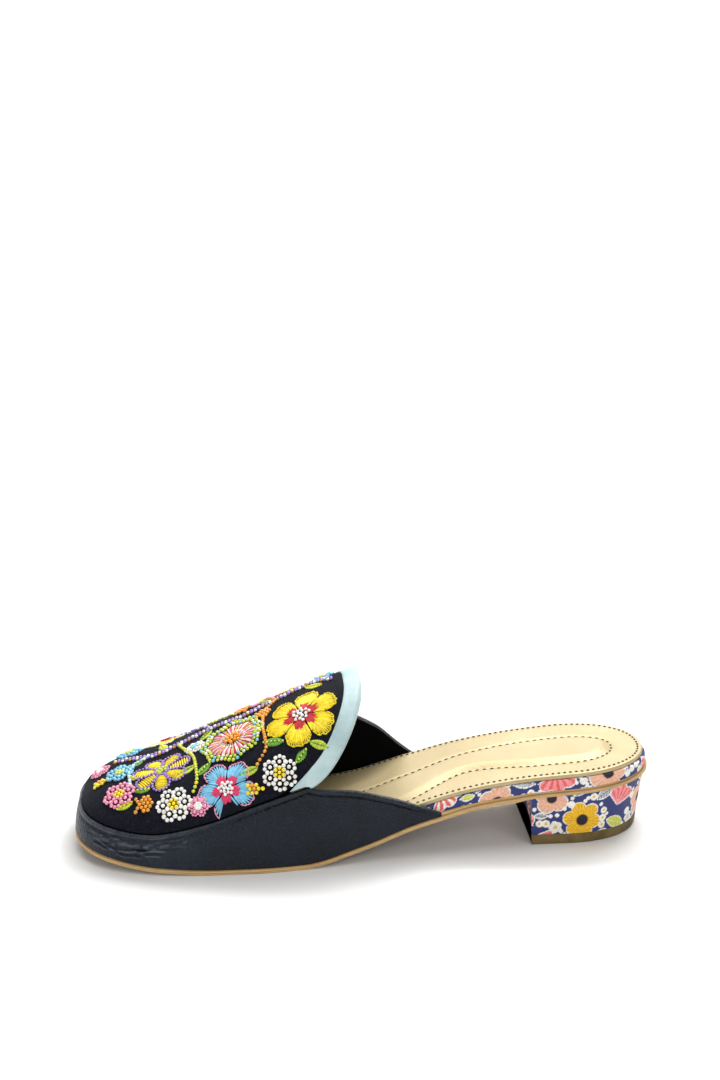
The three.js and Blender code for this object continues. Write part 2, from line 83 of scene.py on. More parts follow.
# station, height of the sole's underside
UNDERSIDE = [(-0.03, 26), (0.10, 24.2), (0.22, 22.2), (0.32, 18.8), (0.42, 12.8), (0.52, 5),
             (0.62, 0), (0.76, 0), (0.86, 0.9), (0.94, 2.9), (1.03, 6)]
# share of the pad's length, half width on the outer side, half width on the inner side
PAD = [(0.10, 15.5, 12), (0.16, 15.5, 11.5), (0.31, 10.5, 8.5), (0.44, 22, 3), (0.54, 26, 2),
       (0.68, 28, 12), (0.76, 28, 20)]
PAD_ENDS = (0.06, 0.90)
# station, height, distance across, fullness of the section
RIDGE = [(0.44, 74, 3, 2.9), (0.53, 67.5, 3, 2.8), (0.62, 58.5, 3, 2.7), (0.72, 47.5, 2.5, 2.5),
         (0.80, 38, 2, 2.35), (0.87, 30, 1, 2.2)]
# station, height of the seam above the sole on the outer side, on the inner side
SEAM = [(0.61, 32, 38.5), (0.68, 26.6, 30), (0.78, 18, 19.5), (0.88, 12, 12.5), (1.0, 10, 10)]
# share of the way from the wall's end to the tongue, height of the top line on each side
TOPLINE = [(0, 0, 0), (0.18, 7, 10), (0.40, 16, 24), (0.65, 24.5, 34), (1.0, 32, 38.5)]


# Shape of the shoe
def ease(t):
    """Smooth step from 0 to 1."""
    t = np.clip(t, 0, 1)
    return t * t * (3 - 2 * t)


def eased(value, span):
    """Smooth step of a value over a span."""
    return ease((value - span[0]) / (span[1] - span[0]))


def mix(a, b, t):
    return a + (b - a) * t


def smooth(rows, column):
    """Curve through a column of a table, without overshoot."""
    rows = np.array(rows, float)
    x, y = rows[:, 0], rows[:, column]
    slope = np.diff(y) / np.diff(x)
    before = np.concatenate([slope[:1], slope])
    after = np.concatenate([slope, slope[-1:]])
    both = before * after > 0
    total = np.where(both, before + after, 1)
    tangent = np.where(both, 2 * before * after / total, 0)

    def curve(at):
        i = np.clip(np.searchsorted(x, at, side="right") - 1, 0, len(slope) - 1)
        step = x[i + 1] - x[i]
        t = np.clip((at - x[i]) / step, 0, 1)
        return ((1 + 2 * t) * (1 - t) ** 2 * y[i] + t * (1 - t) ** 2 * step * tangent[i]
                + t * t * (3 - 2 * t) * y[i + 1] - t * t * (1 - t) * step * tangent[i + 1])

    return curve


def run_lengths(points):
    """Length along a line from its first point to each."""
    return np.concatenate([[0], np.cumsum(np.linalg.norm(np.diff(points, axis=0), axis=1))])


def x_of(station):
    return LENGTH * (0.5 - station)


def station_at(x):
    return 0.5 - x / LENGTH


def station_of(place):
    """Station of a place on the outline: 0 heel, 1 toe by the outer side, 2 heel by the inner side."""
    return (1 - np.cos(np.pi * place)) / 2


def place_of(station):
    return np.arccos(1 - 2 * station) / np.pi


underside = smooth(UNDERSIDE, 1)


def sole_top(x):
    return underside(station_at(x)) + OUTSOLE


def outsole_thick(x):
    return mix(HEEL_SEAT, OUTSOLE, eased(station_at(x), SEAT_SPAN))


def platform_top(x):
    return sole_top(x) + GAP + mix(*PLATFORM, eased(station_at(x), THIN_SPAN))


def tuck(place):
    """How far platform and sock draw in under the upper."""
    return TUCK * eased(station_of(np.mod(place, 2)), TUCK_SPAN)


def rounded_width(table, heel, ball):
    """Half width by side and station: a table with its heel and toe rounded."""
    columns = [smooth(table, 1), smooth(table, 2)]

    def arc(t, power):
        return np.maximum(0, 1 - np.clip(t, 0, 1) ** power) ** (1 / power)

    def width(side, station):
        tip = (-TOE_SHIFT, TOE_SHIFT)[side]
        past = (station - ball[side]) / (1 - ball[side])
        full = columns[side](ball[side])
        toe = tip + (full - tip) * arc(past, TOE_SQUARENESS[side])
        round_heel = columns[side](heel) * arc(1 - station / heel, HEEL_SQUARENESS)
        body = np.where(past <= 0, columns[side](station), toe)
        return np.where(station < heel, round_heel, body)

    return width


platform_width = rounded_width(PLAN, HEEL_STATION, BALL)
pad_width = rounded_width(PAD, 0.10, (0.76, 0.76))


def outline(place):
    turn = np.mod(place, 2)
    station = station_of(turn)
    y = np.where(turn <= 1, -platform_width(OUTER, station), platform_width(INNER, station))
    return np.stack([x_of(station), y], -1)


def outline_offset(place, distance):
    """Outline moved outward by a distance."""
    along = outline(place + 1e-3) - outline(place - 1e-3)
    along /= np.linalg.norm(along, axis=-1, keepdims=True)
    normal = np.stack([-along[..., 1], along[..., 0]], -1)
    return outline(place) + normal * np.asarray(distance)[..., None]


ridge_height, ridge_across, fullness_at = (smooth(RIDGE, k) for k in (1, 2, 3))
seam_height = [smooth(SEAM, 1), smooth(SEAM, 2)]
topline_height = [smooth(TOPLINE, 1), smooth(TOPLINE, 2)]
CORNER = float(place_of(CORNER_STATION))
TIP = float(place_of(TONGUE_TIP))


def lean_station(place):
    """Station where a section meets the ridge: sections ahead of the ball lean back."""
    start, end, arrive = 0.70, 0.87, 0.05
    first = float(place_of(start))
    t = np.clip((place - first) / (1 - first), 0, None)
    leave = (np.pi / 2) * math.sin(math.pi * first) * (1 - first)
    lean = start + t * (1 - t) ** 2 * leave + t * t * (3 - 2 * t) * (end - start)
    return np.where(place <= first, station_of(place), lean - t * t * (1 - t) * arrive)


def section(place, across):
    """Foot, its height, ridge point, rise and fullness of a section."""
    edge = outline_offset(np.where(across < 0, place, 2 - place), GAP + WALL + 0 * place)
    station = lean_station(place)
    base = sole_top(edge[..., 0]) + GAP
    top = np.stack([x_of(station), ridge_across(station)], -1)
    return edge, base, top, ridge_height(station) - base, fullness_at(station)


def upper_point(place, across):
    """Point outside the upper: across is -1 at the outer foot, 0 on the ridge, 1 at the inner foot."""
    place, across = np.broadcast_arrays(np.asarray(place, float), np.asarray(across, float))
    edge, base, top, rise, full = section(place, across)
    angle = np.clip(1 - np.abs(across), 0, 1) * np.pi / 2
    inwards = 1 - np.maximum(0, np.cos(angle)) ** (2 / full)
    height = base + rise * np.sin(angle) ** (2 / full)
    plan = edge + (top - edge) * inwards[..., None]
    return np.concatenate([plan, height[..., None]], -1)


def sign(side):
    return -1 if side == OUTER else 1


def share_at_height(place, side, height):
    """Share of the way from foot to ridge at a height above the foot."""
    _, _, _, rise, full = section(place, np.full_like(place, sign(side)))
    return (2 / np.pi) * np.arcsin(np.clip(np.maximum(0, height) / rise, 0, 1) ** (full / 2))


def wall_top(place, side):
    """Share where the side wall ends: at the top line, and ahead of the tongue's foot at the seam."""
    place = np.asarray(place, float)
    station = station_of(place)
    back = (station - WALL_END[side]) / (CORNER_STATION - WALL_END[side])
    height = np.where(place >= CORNER, seam_height[side](station),
                      topline_height[side](np.clip(back, 0, 1)))
    return share_at_height(place, side, height)


def seam_across(place, side):
    return 1 - wall_top(np.maximum(place, CORNER), side)


def section_length(places, side, first, last):
    """Length over each section between two shares."""
    shares = mix(first, last, np.linspace(0, 1, 9))
    points = upper_point(places[:, None] + 0 * shares, sign(side) * (1 - shares))
    return np.linalg.norm(np.diff(points, axis=1), axis=-1).sum(1)


def seam_to_ridge(places, side):
    return section_length(places, side, 1 - seam_across(places, side)[:, None], 1)


def grid_normals(points):
    along = np.gradient(points, axis=0)
    over = np.gradient(points, axis=1)
    normal = np.cross(along, over)
    return normal / (np.linalg.norm(normal, axis=-1, keepdims=True) + 1e-12)


def tangents(place, across):
    """Directions along and over the upper, and its normal."""
    step = 1e-3
    along = (upper_point(place + step, across) - upper_point(place - step, across)) / (2 * step)
    over = (upper_point(place, across + step) - upper_point(place, across - step)) / (2 * step)
    out = np.cross(over, along)
    return along, over, out / np.linalg.norm(out, axis=-1, keepdims=True)


def walk(place, across, direction, distance):
    """Place and across after a walk over the upper."""
    steps = 5
    for _ in range(steps):
        along, over, _ = tangents(place, across)
        a, b, c = (along * along).sum(-1), (along * over).sum(-1), (over * over).sum(-1)
        p, q = (along * direction).sum(-1), (over * direction).sum(-1)
        scale = distance / steps / (a * c - b * b)
        place = place + (c * p - b * q) * scale
        across = across + (a * q - b * p) * scale
    return place, across


# Making pieces
def frame_shift():
    """From the shape's own middle to the middle of the frame."""
    low, high = (np.array(corner) * 1000 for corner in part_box("insole_platform"))
    places = np.linspace(0, 2, 2001)
    ring = outline_offset(places, -tuck(places))
    middle = (ring.min(0) + ring.max(0)) / 2
    return np.array([high[0] - ring[:, 0].max(), (low[1] + high[1]) / 2 - middle[1], 0.0])


SHIFT = frame_shift()


def grid_faces(rows, columns, wrap_rows=False, flip=False):
    index = np.arange(rows * columns).reshape(rows, columns)
    if wrap_rows:
        index = np.vstack([index, index[:1]])
    corners = [index[:-1, :-1], index[1:, :-1], index[1:, 1:], index[:-1, 1:]]
    quads = np.stack(corners, -1).reshape(-1, 4)
    return quads[:, ::-1] if flip else quads


def join(*grids):
    """Joins (points, faces) pairs into one."""
    points, faces, count = [], [], 0
    for some_points, some_faces in grids:
        points.append(np.asarray(some_points).reshape(-1, 3))
        faces.extend((np.asarray(face) + count).tolist() for face in some_faces)
        count += len(points[-1])
    return np.concatenate(points), faces


def welded(points, faces):
    """Kept points and the faces over them: points in one spot become one, and faces without area go."""
    _, kept, merged = np.unique(points.round(5), axis=0, return_index=True, return_inverse=True)
    merged = merged.ravel()
    corners = [list(dict.fromkeys(merged[list(face)].tolist())) for face in faces]
    return kept, [face for face in corners if len(face) > 2]


def piece(name, points, faces, node, slot, material, colours=None):
    """Object on the root body, in place of a node of the frame where one is given."""
    points = np.asarray(points, float).reshape(-1, 3)
    kept, faces = welded(points, faces)
    mesh = bpy.data.meshes.new(name)
    mesh.from_pydata((points[kept] + SHIFT) * 0.001, [], faces)
    if colours is not None:
        layer = mesh.color_attributes.new("tint", "FLOAT_COLOR", "POINT")
        layer.data.foreach_set("color", np.insert(colours[kept], 3, 1.0, axis=1).ravel())
    mesh.materials.append(material)
    mesh.validate()
    mesh.shade_smooth()
    obj = bpy.data.objects.new(name, mesh)
    bpy.context.scene.collection.objects.link(obj)
    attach(obj, "root")
    if node:
        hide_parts(node)
    return obj


def linear(red, green, blue):
    """Linear colour of 0-255 values."""
    value = np.array([red, green, blue]) / 255
    return np.where(value <= 0.04045, value / 12.92, ((value + 0.055) / 1.055) ** 2.4)


# Materials
class Look:
    """A material whose nodes are added one by one."""

    def __init__(self, name, **inputs):
        self.material = bpy.data.materials.new(name)
        self.material.use_nodes = True
        self.tree = self.material.node_tree
        self.shader = self.tree.nodes["Principled BSDF"]
        for key, value in inputs.items():
            self.shader.inputs[key.replace("_", " ")].default_value = value
        self.coords = self.node("ShaderNodeTexCoord").outputs["Object"]

    def node(self, kind, **settings):
        node = self.tree.nodes.new(kind)
        for key, value in settings.items():
            if key in node.inputs:
                node.inputs[key].default_value = value
            else:
                setattr(node, key, value)
        return node

    def link(self, output, socket):
        self.tree.links.new(output, socket)

    def noise(self, scale, detail=3.0, roughness=0.55, stretch=None):
        texture = self.node("ShaderNodeTexNoise", Scale=scale, Detail=detail, Roughness=roughness)
        self.link(self.stretched(stretch), texture.inputs["Vector"])
        return texture.outputs["Fac"]

    def cells(self, scale):
        texture = self.node("ShaderNodeTexVoronoi", Scale=scale)
        self.link(self.coords, texture.inputs["Vector"])
        return texture.outputs["Distance"]

    def stretched(self, stretch):
        if stretch is None:
            return self.coords
        mapping = self.node("ShaderNodeMapping", Scale=stretch)
        self.link(self.coords, mapping.inputs["Vector"])
        return mapping.outputs["Vector"]

    def ramp(self, factor, *stops):
        """Colour ramp from (position, colour) stops."""
        ramp = self.node("ShaderNodeValToRGB")
        elements = ramp.color_ramp.elements
        while len(elements) < len(stops):
            elements.new(0.5)
        for element, (position, colour) in zip(elements, stops):
            element.position = position
            element.color = (*colour, 1)
        self.link(factor, ramp.inputs["Fac"])
        return ramp.outputs["Color"]

    def colour(self, output):
        self.link(output, self.shader.inputs["Base Color"])

    def shades(self, factor, *stops):
        """Base colour from stops of a position and 0-255 values."""
        self.colour(self.ramp(factor, *((at, linear(*values)) for at, *values in stops)))

    def tinted(self, factor, low, high):
        """Vertex colours, varied by a factor."""
        tint = self.node("ShaderNodeVertexColor", layer_name="tint")
        shade = self.ramp(factor, (0.3, (low,) * 3), (0.7, (high,) * 3))
        blend = self.node("ShaderNodeMix", data_type="RGBA", blend_type="MULTIPLY")
        blend.inputs[0].default_value = 1.0
        self.link(tint.outputs["Color"], blend.inputs[6])
        self.link(shade, blend.inputs[7])
        self.colour(blend.outputs[2])

    def roughness(self, factor, low, high):
        span = self.node("ShaderNodeMapRange")
        span.inputs["To Min"].default_value = low
        span.inputs["To Max"].default_value = high
        self.link(factor, span.inputs["Value"])
        self.link(span.outputs["Result"], self.shader.inputs["Roughness"])

    def bump(self, *heights):
        """Bumps from (factor, strength, distance in mm), one on the other."""
        last = None
        for factor, strength, distance in heights:
            bump = self.node("ShaderNodeBump", Strength=strength, Distance=distance * 0.001)
            self.link(factor, bump.inputs["Height"])
            if last is not None:
                self.link(last, bump.inputs["Normal"])
            last = bump.outputs["Normal"]
        self.link(last, self.shader.inputs["Normal"])


def leather_look():
    look = Look("black_leather", Specular_IOR_Level=0.32, Specular_Tint=(0.8, 0.9, 1.0, 1.0))
    look.tinted(look.noise(70, 7, 0.85), 0.35, 2.0)
    look.roughness(look.noise(500, 5, 0.7), 0.24, 0.48)
    look.bump((look.cells(950), 0.8, 0.5), (look.noise(1900, 3), 0.8, 0.3), (look.noise(220, 4), 0.3, 0.6))
    return look.material


def lining_look():
    look = Look("lining", Roughness=0.8, Specular_IOR_Level=0.08)
    look.tinted(look.noise(400, 4), 0.7, 1.2)
    look.bump((look.cells(1300), 0.4, 0.2))
    return look.material


def apron_look():
    look = Look("apron_cloth", Roughness=0.95, Specular_IOR_Level=0.12, Sheen_Weight=0.03)
    look.shades(look.noise(650, 6, 0.85), (0.35, 8, 9, 15), (0.62, 26, 28, 39), (0.8, 62, 65, 76))
    look.bump((look.noise(2600, 3), 0.6, 0.3))
    return look.material


def binding_look():
    look = Look("pale_binding", Specular_IOR_Level=0.4)
    look.shades(look.noise(55, 5, 0.6), (0.28, 152, 178, 182), (0.55, 184, 208, 211), (0.85, 212, 229, 230))
    look.roughness(look.noise(180), 0.38, 0.55)
    look.bump((look.cells(1300), 0.3, 0.2), (look.noise(150, 3), 0.3, 0.3))
    return look.material


def gold_look():
    look = Look("gold_sock", Metallic=0.3, Specular_IOR_Level=0.4)
    look.shades(look.noise(30, 6, 0.6), (0.25, 182, 163, 120), (0.55, 192, 174, 132), (0.85, 203, 188, 150))
    look.roughness(look.noise(260, 4), 0.34, 0.48)
    look.bump((look.cells(1200), 0.35, 0.25), (look.noise(2400, 2), 0.3, 0.1), (look.noise(60, 3), 0.3, 0.8))
    return look.material


def print_look():
    look = Look("printed_cloth", Roughness=0.55, Specular_IOR_Level=0.3)
    look.tinted(look.noise(900, 4), 0.84, 1.1)
    weave = look.node("ShaderNodeTexChecker", Scale=2600.0)
    look.link(look.coords, weave.inputs["Vector"])
    look.bump((weave.outputs["Fac"], 0.25, 0.12), (look.noise(1800, 2), 0.3, 0.1))
    return look.material


def tan_look():
    look = Look("tan_outsole", Roughness=0.55, Specular_IOR_Level=0.3)
    look.tinted(look.noise(300, 4, stretch=(0.25, 0.25, 3.0)), 0.8, 1.1)
    look.bump((look.noise(900, 3, stretch=(0.3, 0.3, 3.0)), 0.35, 0.2))
    return look.material


def lift_look():
    look = Look("lift_rubber", Roughness=0.75, Specular_IOR_Level=0.3)
    look.shades(look.noise(160, 5), (0.3, 94, 79, 48), (0.7, 124, 106, 66))
    look.bump((look.noise(1200, 3), 0.4, 0.2))
    return look.material


def bead_look():
    look = Look("seed_beads", Roughness=0.2, Coat_Weight=0.3)
    look.tinted(look.noise(300), 0.9, 1.06)
    return look.material


def thread_look():
    look = Look("thread", Roughness=0.5, Specular_IOR_Level=0.4)
    look.tinted(look.noise(900, 3), 0.78, 1.12)
    look.bump((look.noise(2500, 2), 0.3, 0.1))
    return look.material


# Side walls and lining
# distance from the wall's top as a share of the rim, rise of the rolled seam, rise of the folded top line
RIM = [(0, 0.0, 0.0), (0.02, 0.42, 0.3), (0.07, 0.76, 0.55), (0.15, 0.96, 0.72), (0.26, 0.98, 0.8),
       (0.40, 0.70, 0.8), (0.52, 0.34, 0.78), (0.62, 0.02, 0.76), (0.72, -0.14, 0.74), (0.84, -0.14, 0.6),
       (0.94, -0.06, 0.05), (1.0, 0.0, -0.28), (1.06, 0.04, -0.2), (1.14, 0.06, 0.06), (1.3, 0.06, 0.14),
       (1.6, 0.02, 0.05), (2.0, 0, 0)]
# creases of the outer wall: places from and to, shares of its height there, wave, half width and depth in mm
CREASES = [
    (0.732, 0.800, 0.54, 0.46, 0.030, 0.62, 0.52),
    (0.760, 0.852, 0.40, 0.50, 0.025, 0.68, 0.60),
    (0.742, 0.790, 0.31, 0.35, 0.020, 0.55, 0.40),
    (0.788, 0.870, 0.32, 0.38, 0.030, 0.62, 0.54),
    (0.812, 0.864, 0.58, 0.62, 0.020, 0.55, 0.40),
    (0.772, 0.838, 0.22, 0.19, 0.020, 0.55, 0.40),
    (0.838, 0.888, 0.25, 0.30, 0.020, 0.55, 0.42),
    (0.704, 0.752, 0.62, 0.57, 0.020, 0.50, 0.36),
    (0.716, 0.770, 0.70, 0.66, 0.015, 0.50, 0.34),
    (0.776, 0.822, 0.66, 0.70, 0.020, 0.50, 0.36),
    (0.826, 0.876, 0.74, 0.70, 0.015, 0.50, 0.34),
    (0.856, 0.902, 0.46, 0.52, 0.020, 0.50, 0.38),
    (0.560, 0.660, 0.22, 0.48, 0.010, 2.20, 0.16),
    (0.600, 0.712, 0.12, 0.30, 0.010, 2.40, 0.18),
]
CREASE_FADE = 0.3
RIM_MOST, LOW_WALL = 0.4, 12
# the second span is where the toe's painted highlight comes in
ROLL_SPAN, TOE_GLINT_SPAN = (CORNER + 0.02, CORNER + 0.14), (0.66, 0.74)
WALL_PLACES, WALL_ROWS = 340, 40
HEM_DROPS = (0.5, 1.0, 1.35)
# colour of the leather, and the pale grey of the painted highlights
LEATHER, GLINT = linear(12, 16, 24), linear(132, 136, 140)


def creased(place, share, height):
    """Soft troughs with low ridges beside them."""
    depth = np.zeros(np.broadcast(place, share).shape)
    for first, last, low, high, wave, half, deep in CREASES:
        along = (place - first) / (last - first)
        line = mix(low, high, along) + wave * np.sin(9 * along + 40 * first)
        off = (share - line) * height
        body = ease(along / CREASE_FADE) * ease((1 - along) / CREASE_FADE)
        ridges = 0.5 * np.exp(-((np.abs(off) - 1.9 * half) / half) ** 2)
        depth += body * deep * (ridges - np.exp(-(off / half) ** 2))
    return depth


def wall_places(side):
    return np.linspace(float(place_of(WALL_END[side])), 1, WALL_PLACES)


def round_toe(outer, inner):
    """Rows of both sides as one strip, from the outer end round the toe to the inner end."""
    return np.concatenate([outer, inner[-2::-1]])


def wall_grid(side):
    """Points of one wall from its top down, and how far each stands out."""
    places = wall_places(side)[:, None]
    rim_at, seam_rise, edge_rise = np.array(RIM).T
    top = wall_top(places, side)
    length = np.maximum(section_length(places[:, 0], side, 0, top)[:, None], 1e-6)
    back = rim_at * np.minimum(RIM_MOST, RIM_WIDTH / length)
    lower = np.linspace(0, 1, WALL_ROWS)[None, 1:]
    down = np.concatenate([back, mix(back[:, -1:], 1, lower)], 1)
    profile = mix(edge_rise, seam_rise, eased(places, ROLL_SPAN)) * ease(length / LOW_WALL)
    rise = np.concatenate([profile, 0 * lower * length], 1)
    if side == OUTER:
        rise = rise + creased(places, 1 - down, length)
    share = top * (1 - down)
    return upper_point(places + 0 * share, sign(side) * (1 - share)), rise


def wall_normals(points):
    """Normals of the walls: the ends copy their neighbours, and the foot's are level."""
    normal = grid_normals(points)
    normal[0], normal[-1] = normal[1], normal[-2]
    flat = normal[:, -1].copy()
    flat[:, 2] = 0
    normal[:, -1] = flat / np.linalg.norm(flat, axis=-1, keepdims=True)
    return normal


def wall_tint(places, rise):
    """Painted highlights: pale glints on the ridges of the creases and on the rolled seam, and the toe
    painted lighter.
    """
    proud = np.clip(rise, 0, None)
    toe = eased(places[:, None], TOE_GLINT_SPAN)
    crease_glint = 0.5 * eased(proud, (0.05, 0.27)) * toe * (proud < 0.5)
    glint = crease_glint + (0.10 + 0.12 * toe) * eased(proud, (0.6, 0.9))
    # painted highlights: the toe lighter, the creases' ridges and the rolled seam paler
    return mix(LEATHER * (1 + 0.9 * toe[..., None]), GLINT, 0.5 * glint[..., None]).reshape(-1, 3)


def side_walls():
    """Whole walls with fold and hem, their plain outside, its normals and the colours."""
    points, rise = (round_toe(*pair) for pair in zip(*map(wall_grid, SIDES)))
    places = round_toe(*map(wall_places, SIDES))
    normal = wall_normals(points)
    front = points + normal * rise[..., None]

    # the fold over the top, to the inside behind the corner and under the apron ahead of it
    open_edge = ease((CORNER + 0.004 - places) / 0.008)[:, None, None]
    turns = ((0, 0.5), (0, 1.3), (1, 1.85), (5, 1.95), (10, 1.9))
    inside = np.stack([points[:, row] - normal[:, row] * deep for row, deep in turns], 1)
    under = np.stack([points[:, 0] - normal[:, 0] * deep for deep in (0.2, 0.4, 0.6, 0.8, 1.0)], 1)
    fold = mix(under, inside, open_edge)[:, ::-1]
    hem = np.repeat(front[:, -1:], len(HEM_DROPS), 1)
    hem[:, :, 2] -= np.array(HEM_DROPS)
    hem[:, 2, :2] -= normal[:, -1, :2] * 0.5
    edges = ((0, 0), (len(turns), len(HEM_DROPS)))
    tint = wall_tint(places, np.pad(rise, edges, mode="edge"))
    return np.concatenate([fold, front, hem], 1), points, normal, tint


def lining_shape(wall_points, wall_normal):
    """Inside of walls and tongue, with a pale strip along the top painted as an edge highlight."""
    inside = wall_points[:, 2:] - wall_normal[:, 2:] * LINING_DEPTH
    roof = apron_grid(inset_edge=1.0, inset_seam=-0.6, rows=25)
    roof = roof + grid_normals(roof) * LINING_DEPTH
    points, faces = join((inside, grid_faces(*inside.shape[:2], flip=True)),
                         (roof, grid_faces(*roof.shape[:2])))
    colours = np.broadcast_to(linear(9, 9, 12), (len(points), 3)).copy()
    top_rows = np.arange(inside.shape[0])[:, None] * inside.shape[1] + np.arange(2)[None]
    # painted highlight along the lining's top edge
    colours[top_rows.ravel()] = linear(150, 150, 148)
    return points, faces, colours


# Apron and binding
# share of the binding's width from the tongue's edge, rise: outside, then inside
FOLD_OVER = [(1.0, 0.0), (0.995, 0.5), (0.96, 0.8), (0.88, 0.97), (0.7, 1.03), (0.5, 1.05),
             (0.3, 1.05), (0.12, 1.03)]
FOLD_UNDER = [(0.2, 1.0), (0.5, 1.0), (0.85, 0.9), (0.97, 0.6), (1.0, 0.0)]


def tongue_half(place, tip, foot):
    """Half span of the tongue at a place, as a share of its foot."""
    back = np.clip((foot - place) / (foot - tip), 0, 1)
    return (1 - back ** ROUNDNESS) ** (1 / ROUNDNESS)


def apron_grid(inset_edge, inset_seam, rows=49):
    """Surface of the upper inside its seam and its bound edge: columns from the tip to the toe."""
    tip = float(place_of(station_at(x_of(TONGUE_TIP) - inset_edge)))
    turns = np.sin(np.linspace(0, 1, 46)[:-1] * np.pi / 2) ** 2
    places = np.concatenate([mix(tip, CORNER, turns ** 1.25), np.linspace(CORNER, 1, 104)])
    inset = mix(inset_edge, inset_seam, ease((places - CORNER) / 0.035))
    spans = []
    for side in SIDES:
        inside = 1 - inset / seam_to_ridge(places, side)
        spans.append((seam_across(places, side) * inside * tongue_half(places, tip, CORNER))[:, None])
    t = np.linspace(-1, 1, rows)[None]
    across = np.where(t < 0, t * spans[OUTER], t * spans[INNER])
    return upper_point(places[:, None] + 0 * across, across)


def faired(points, free):
    """Grid whose free points take the heights of least bending, with the rest held."""
    index = np.arange(free.size).reshape(free.shape)
    a = np.concatenate([index[1:].ravel(), index[:, 1:].ravel()])
    b = np.concatenate([index[:-1].ravel(), index[:, :-1].ravel()])
    flat = points.reshape(-1, 3)
    weight = 1 / (np.linalg.norm(flat[a] - flat[b], axis=1) + 0.05)

    def grown(some):
        more = some.copy()
        more[a[some[b]]] = True
        more[b[some[a]]] = True
        return more

    moving = free.ravel()
    rows = grown(moving)
    near = grown(rows)
    row_of = np.cumsum(rows) - 1
    column_of = np.cumsum(near) - 1
    bend = np.zeros((rows.sum(), near.sum()))
    for p, q in ((a, b), (b, a)):
        here = rows[p]
        np.add.at(bend, (row_of[p[here]], column_of[q[here]]), weight[here])
        np.add.at(bend, (row_of[p[here]], column_of[p[here]]), -weight[here])
    loose = moving[near]
    pull = bend[:, ~loose] @ flat[near, 2][~loose]
    moved = bend[:, loose]
    result = flat.copy()
    result[moving, 2] = np.linalg.solve(moved.T @ moved, -moved.T @ pull)
    return result.reshape(points.shape)


def toe_dome(points):
    """The apron ahead of the ridge's end, rounded."""
    along = (points[..., 0] - x_of(DOME_STATION)) / DOME_HALF_LENGTH
    over = (points[..., 1] - DOME_ACROSS) / DOME_HALF_WIDTH
    return faired(points, along ** 2 + over ** 2 < 1)


def apron_cloth():
    """Cloth laid on the upper, with its edges turned down."""
    points = toe_dome(apron_grid(CLOTH_INSET, SEAM_INSET))
    lift = np.full(points.shape[:2], CLOTH_LIFT)
    lift[:, [1, -2]] = 0.95
    lift[:, [0, -1]] = 0.1
    lift[0] = 0.3
    return points - grid_normals(points) * lift[..., None]


def edge_spots(run):
    """Places on the tongue edge: 0 outer foot, 1 tip, 2 inner foot."""
    angle = np.pi / 2 * (1 - np.abs(run - 1))
    place = mix(CORNER, TIP, np.sin(angle) ** (2 / ROUNDNESS))
    feet = [float(seam_across(np.array(CORNER), side)) for side in SIDES]
    span = np.maximum(np.cos(angle), 0) ** (2 / ROUNDNESS)
    return place, np.where(run <= 1, -feet[OUTER], feet[INNER]) * span


def even_runs(count, first):
    run = np.linspace(first, 2 - first, 4001)
    length = run_lengths(upper_point(*edge_spots(run)))
    return np.interp(np.linspace(0, length[-1], count), length, run)


def inside_edge(run, distance, away):
    """Spots at a distance from the tongue's edge, which end along the seam at its feet."""
    place, across = edge_spots(run)
    square = walk(place, across, -away, distance)
    forward = distance * 1.25 / (LENGTH * np.pi / 2 * math.sin(math.pi * CORNER))
    foot_place = np.full_like(run, CORNER + forward)
    feet = [sign(side) * seam_across(foot_place, side) * (1 - SEAM_INSET / seam_to_ridge(foot_place, side))
            for side in SIDES]
    foot_across = np.where(run <= 1, feet[OUTER], feet[INNER])
    t = ease((1 - np.abs(run - 1)) / 0.3)
    return mix(foot_place, square[0], t), mix(foot_across, square[1], t)


def binding_grid():
    """Strip folded over the tongue's edge: outside, round the edge and inside."""
    run = even_runs(count=170, first=0.03)
    place, across = edge_spots(run)
    edge = upper_point(place, across)
    out = tangents(place, across)[2]
    away = np.cross(np.gradient(edge, axis=0), out)
    away /= np.linalg.norm(away, axis=-1, keepdims=True)
    rows = []
    for share, rise in FOLD_OVER:
        spot = inside_edge(run, BINDING * share, away)
        rows.append(upper_point(*spot) + tangents(*spot)[2] * (FOLD_LIFT + rise))
    half = WALL / 2 + FOLD_LIFT + FOLD_THICK
    for angle in np.radians(np.linspace(80, -80, 9)):
        rows.append(edge + away * FOLD_OUT * np.cos(angle) + out * (half * np.sin(angle) - WALL / 2))
    for share, rise in FOLD_UNDER:
        spot = inside_edge(run, BINDING_INSIDE * share, away)
        rows.append(upper_point(*spot) - tangents(*spot)[2] * (WALL + FOLD_LIFT + rise))
    return np.stack(rows, 1)


# Sole, platform, sock and heel
# inset from the edge, share of the thickness, which is below 0 where cloth is turned under
OUTSOLE_EDGE = [(2.2, 0.0), (0.7, 0.0), (0.25, 0.03), (0.05, 0.08), (0.0, 0.14), (0.0, 0.24), (0.05, 0.28),
                (0.12, 0.3), (0.05, 0.32), (0.0, 0.36), (0.0, 0.46), (0.08, 0.52), (0.4, 0.56), (0.35, 0.62),
                (0.1, 0.66), (0.05, 0.72), (0.05, 0.86), (0.12, 0.93), (0.3, 0.98), (0.8, 1.0), (3.4, 1.0)]
UPPER_PLY = 0.53
PLATFORM_EDGE = [(0.5, -1.0), (0.06, 0.0), *((0.0, 0.06 + 0.08 * k) for k in range(10)), (0.1, 0.86),
                 (0.3, 0.93), (0.6, 0.98), (1.0, 1.0), (1.6, 1.01), (3.2, 1.0)]
SOCK_EDGE = [(0.0, 0.0), (0.0, 0.35), (0.02, 0.6), (0.12, 0.8), (0.3, 0.92), (0.6, 0.99)]


def raised(plan, height):
    """Points over a plan."""
    return np.concatenate([plan, np.broadcast_to(height, plan.shape[:-1])[..., None]], -1)


def rings(places, levels):
    """Grid of rings from (distance function, height function) pairs."""
    plans = [(outline_offset(places, distance(places)), height) for distance, height in levels]
    return np.stack([raised(plan, height(plan[:, 0])) for plan, height in plans], 1)


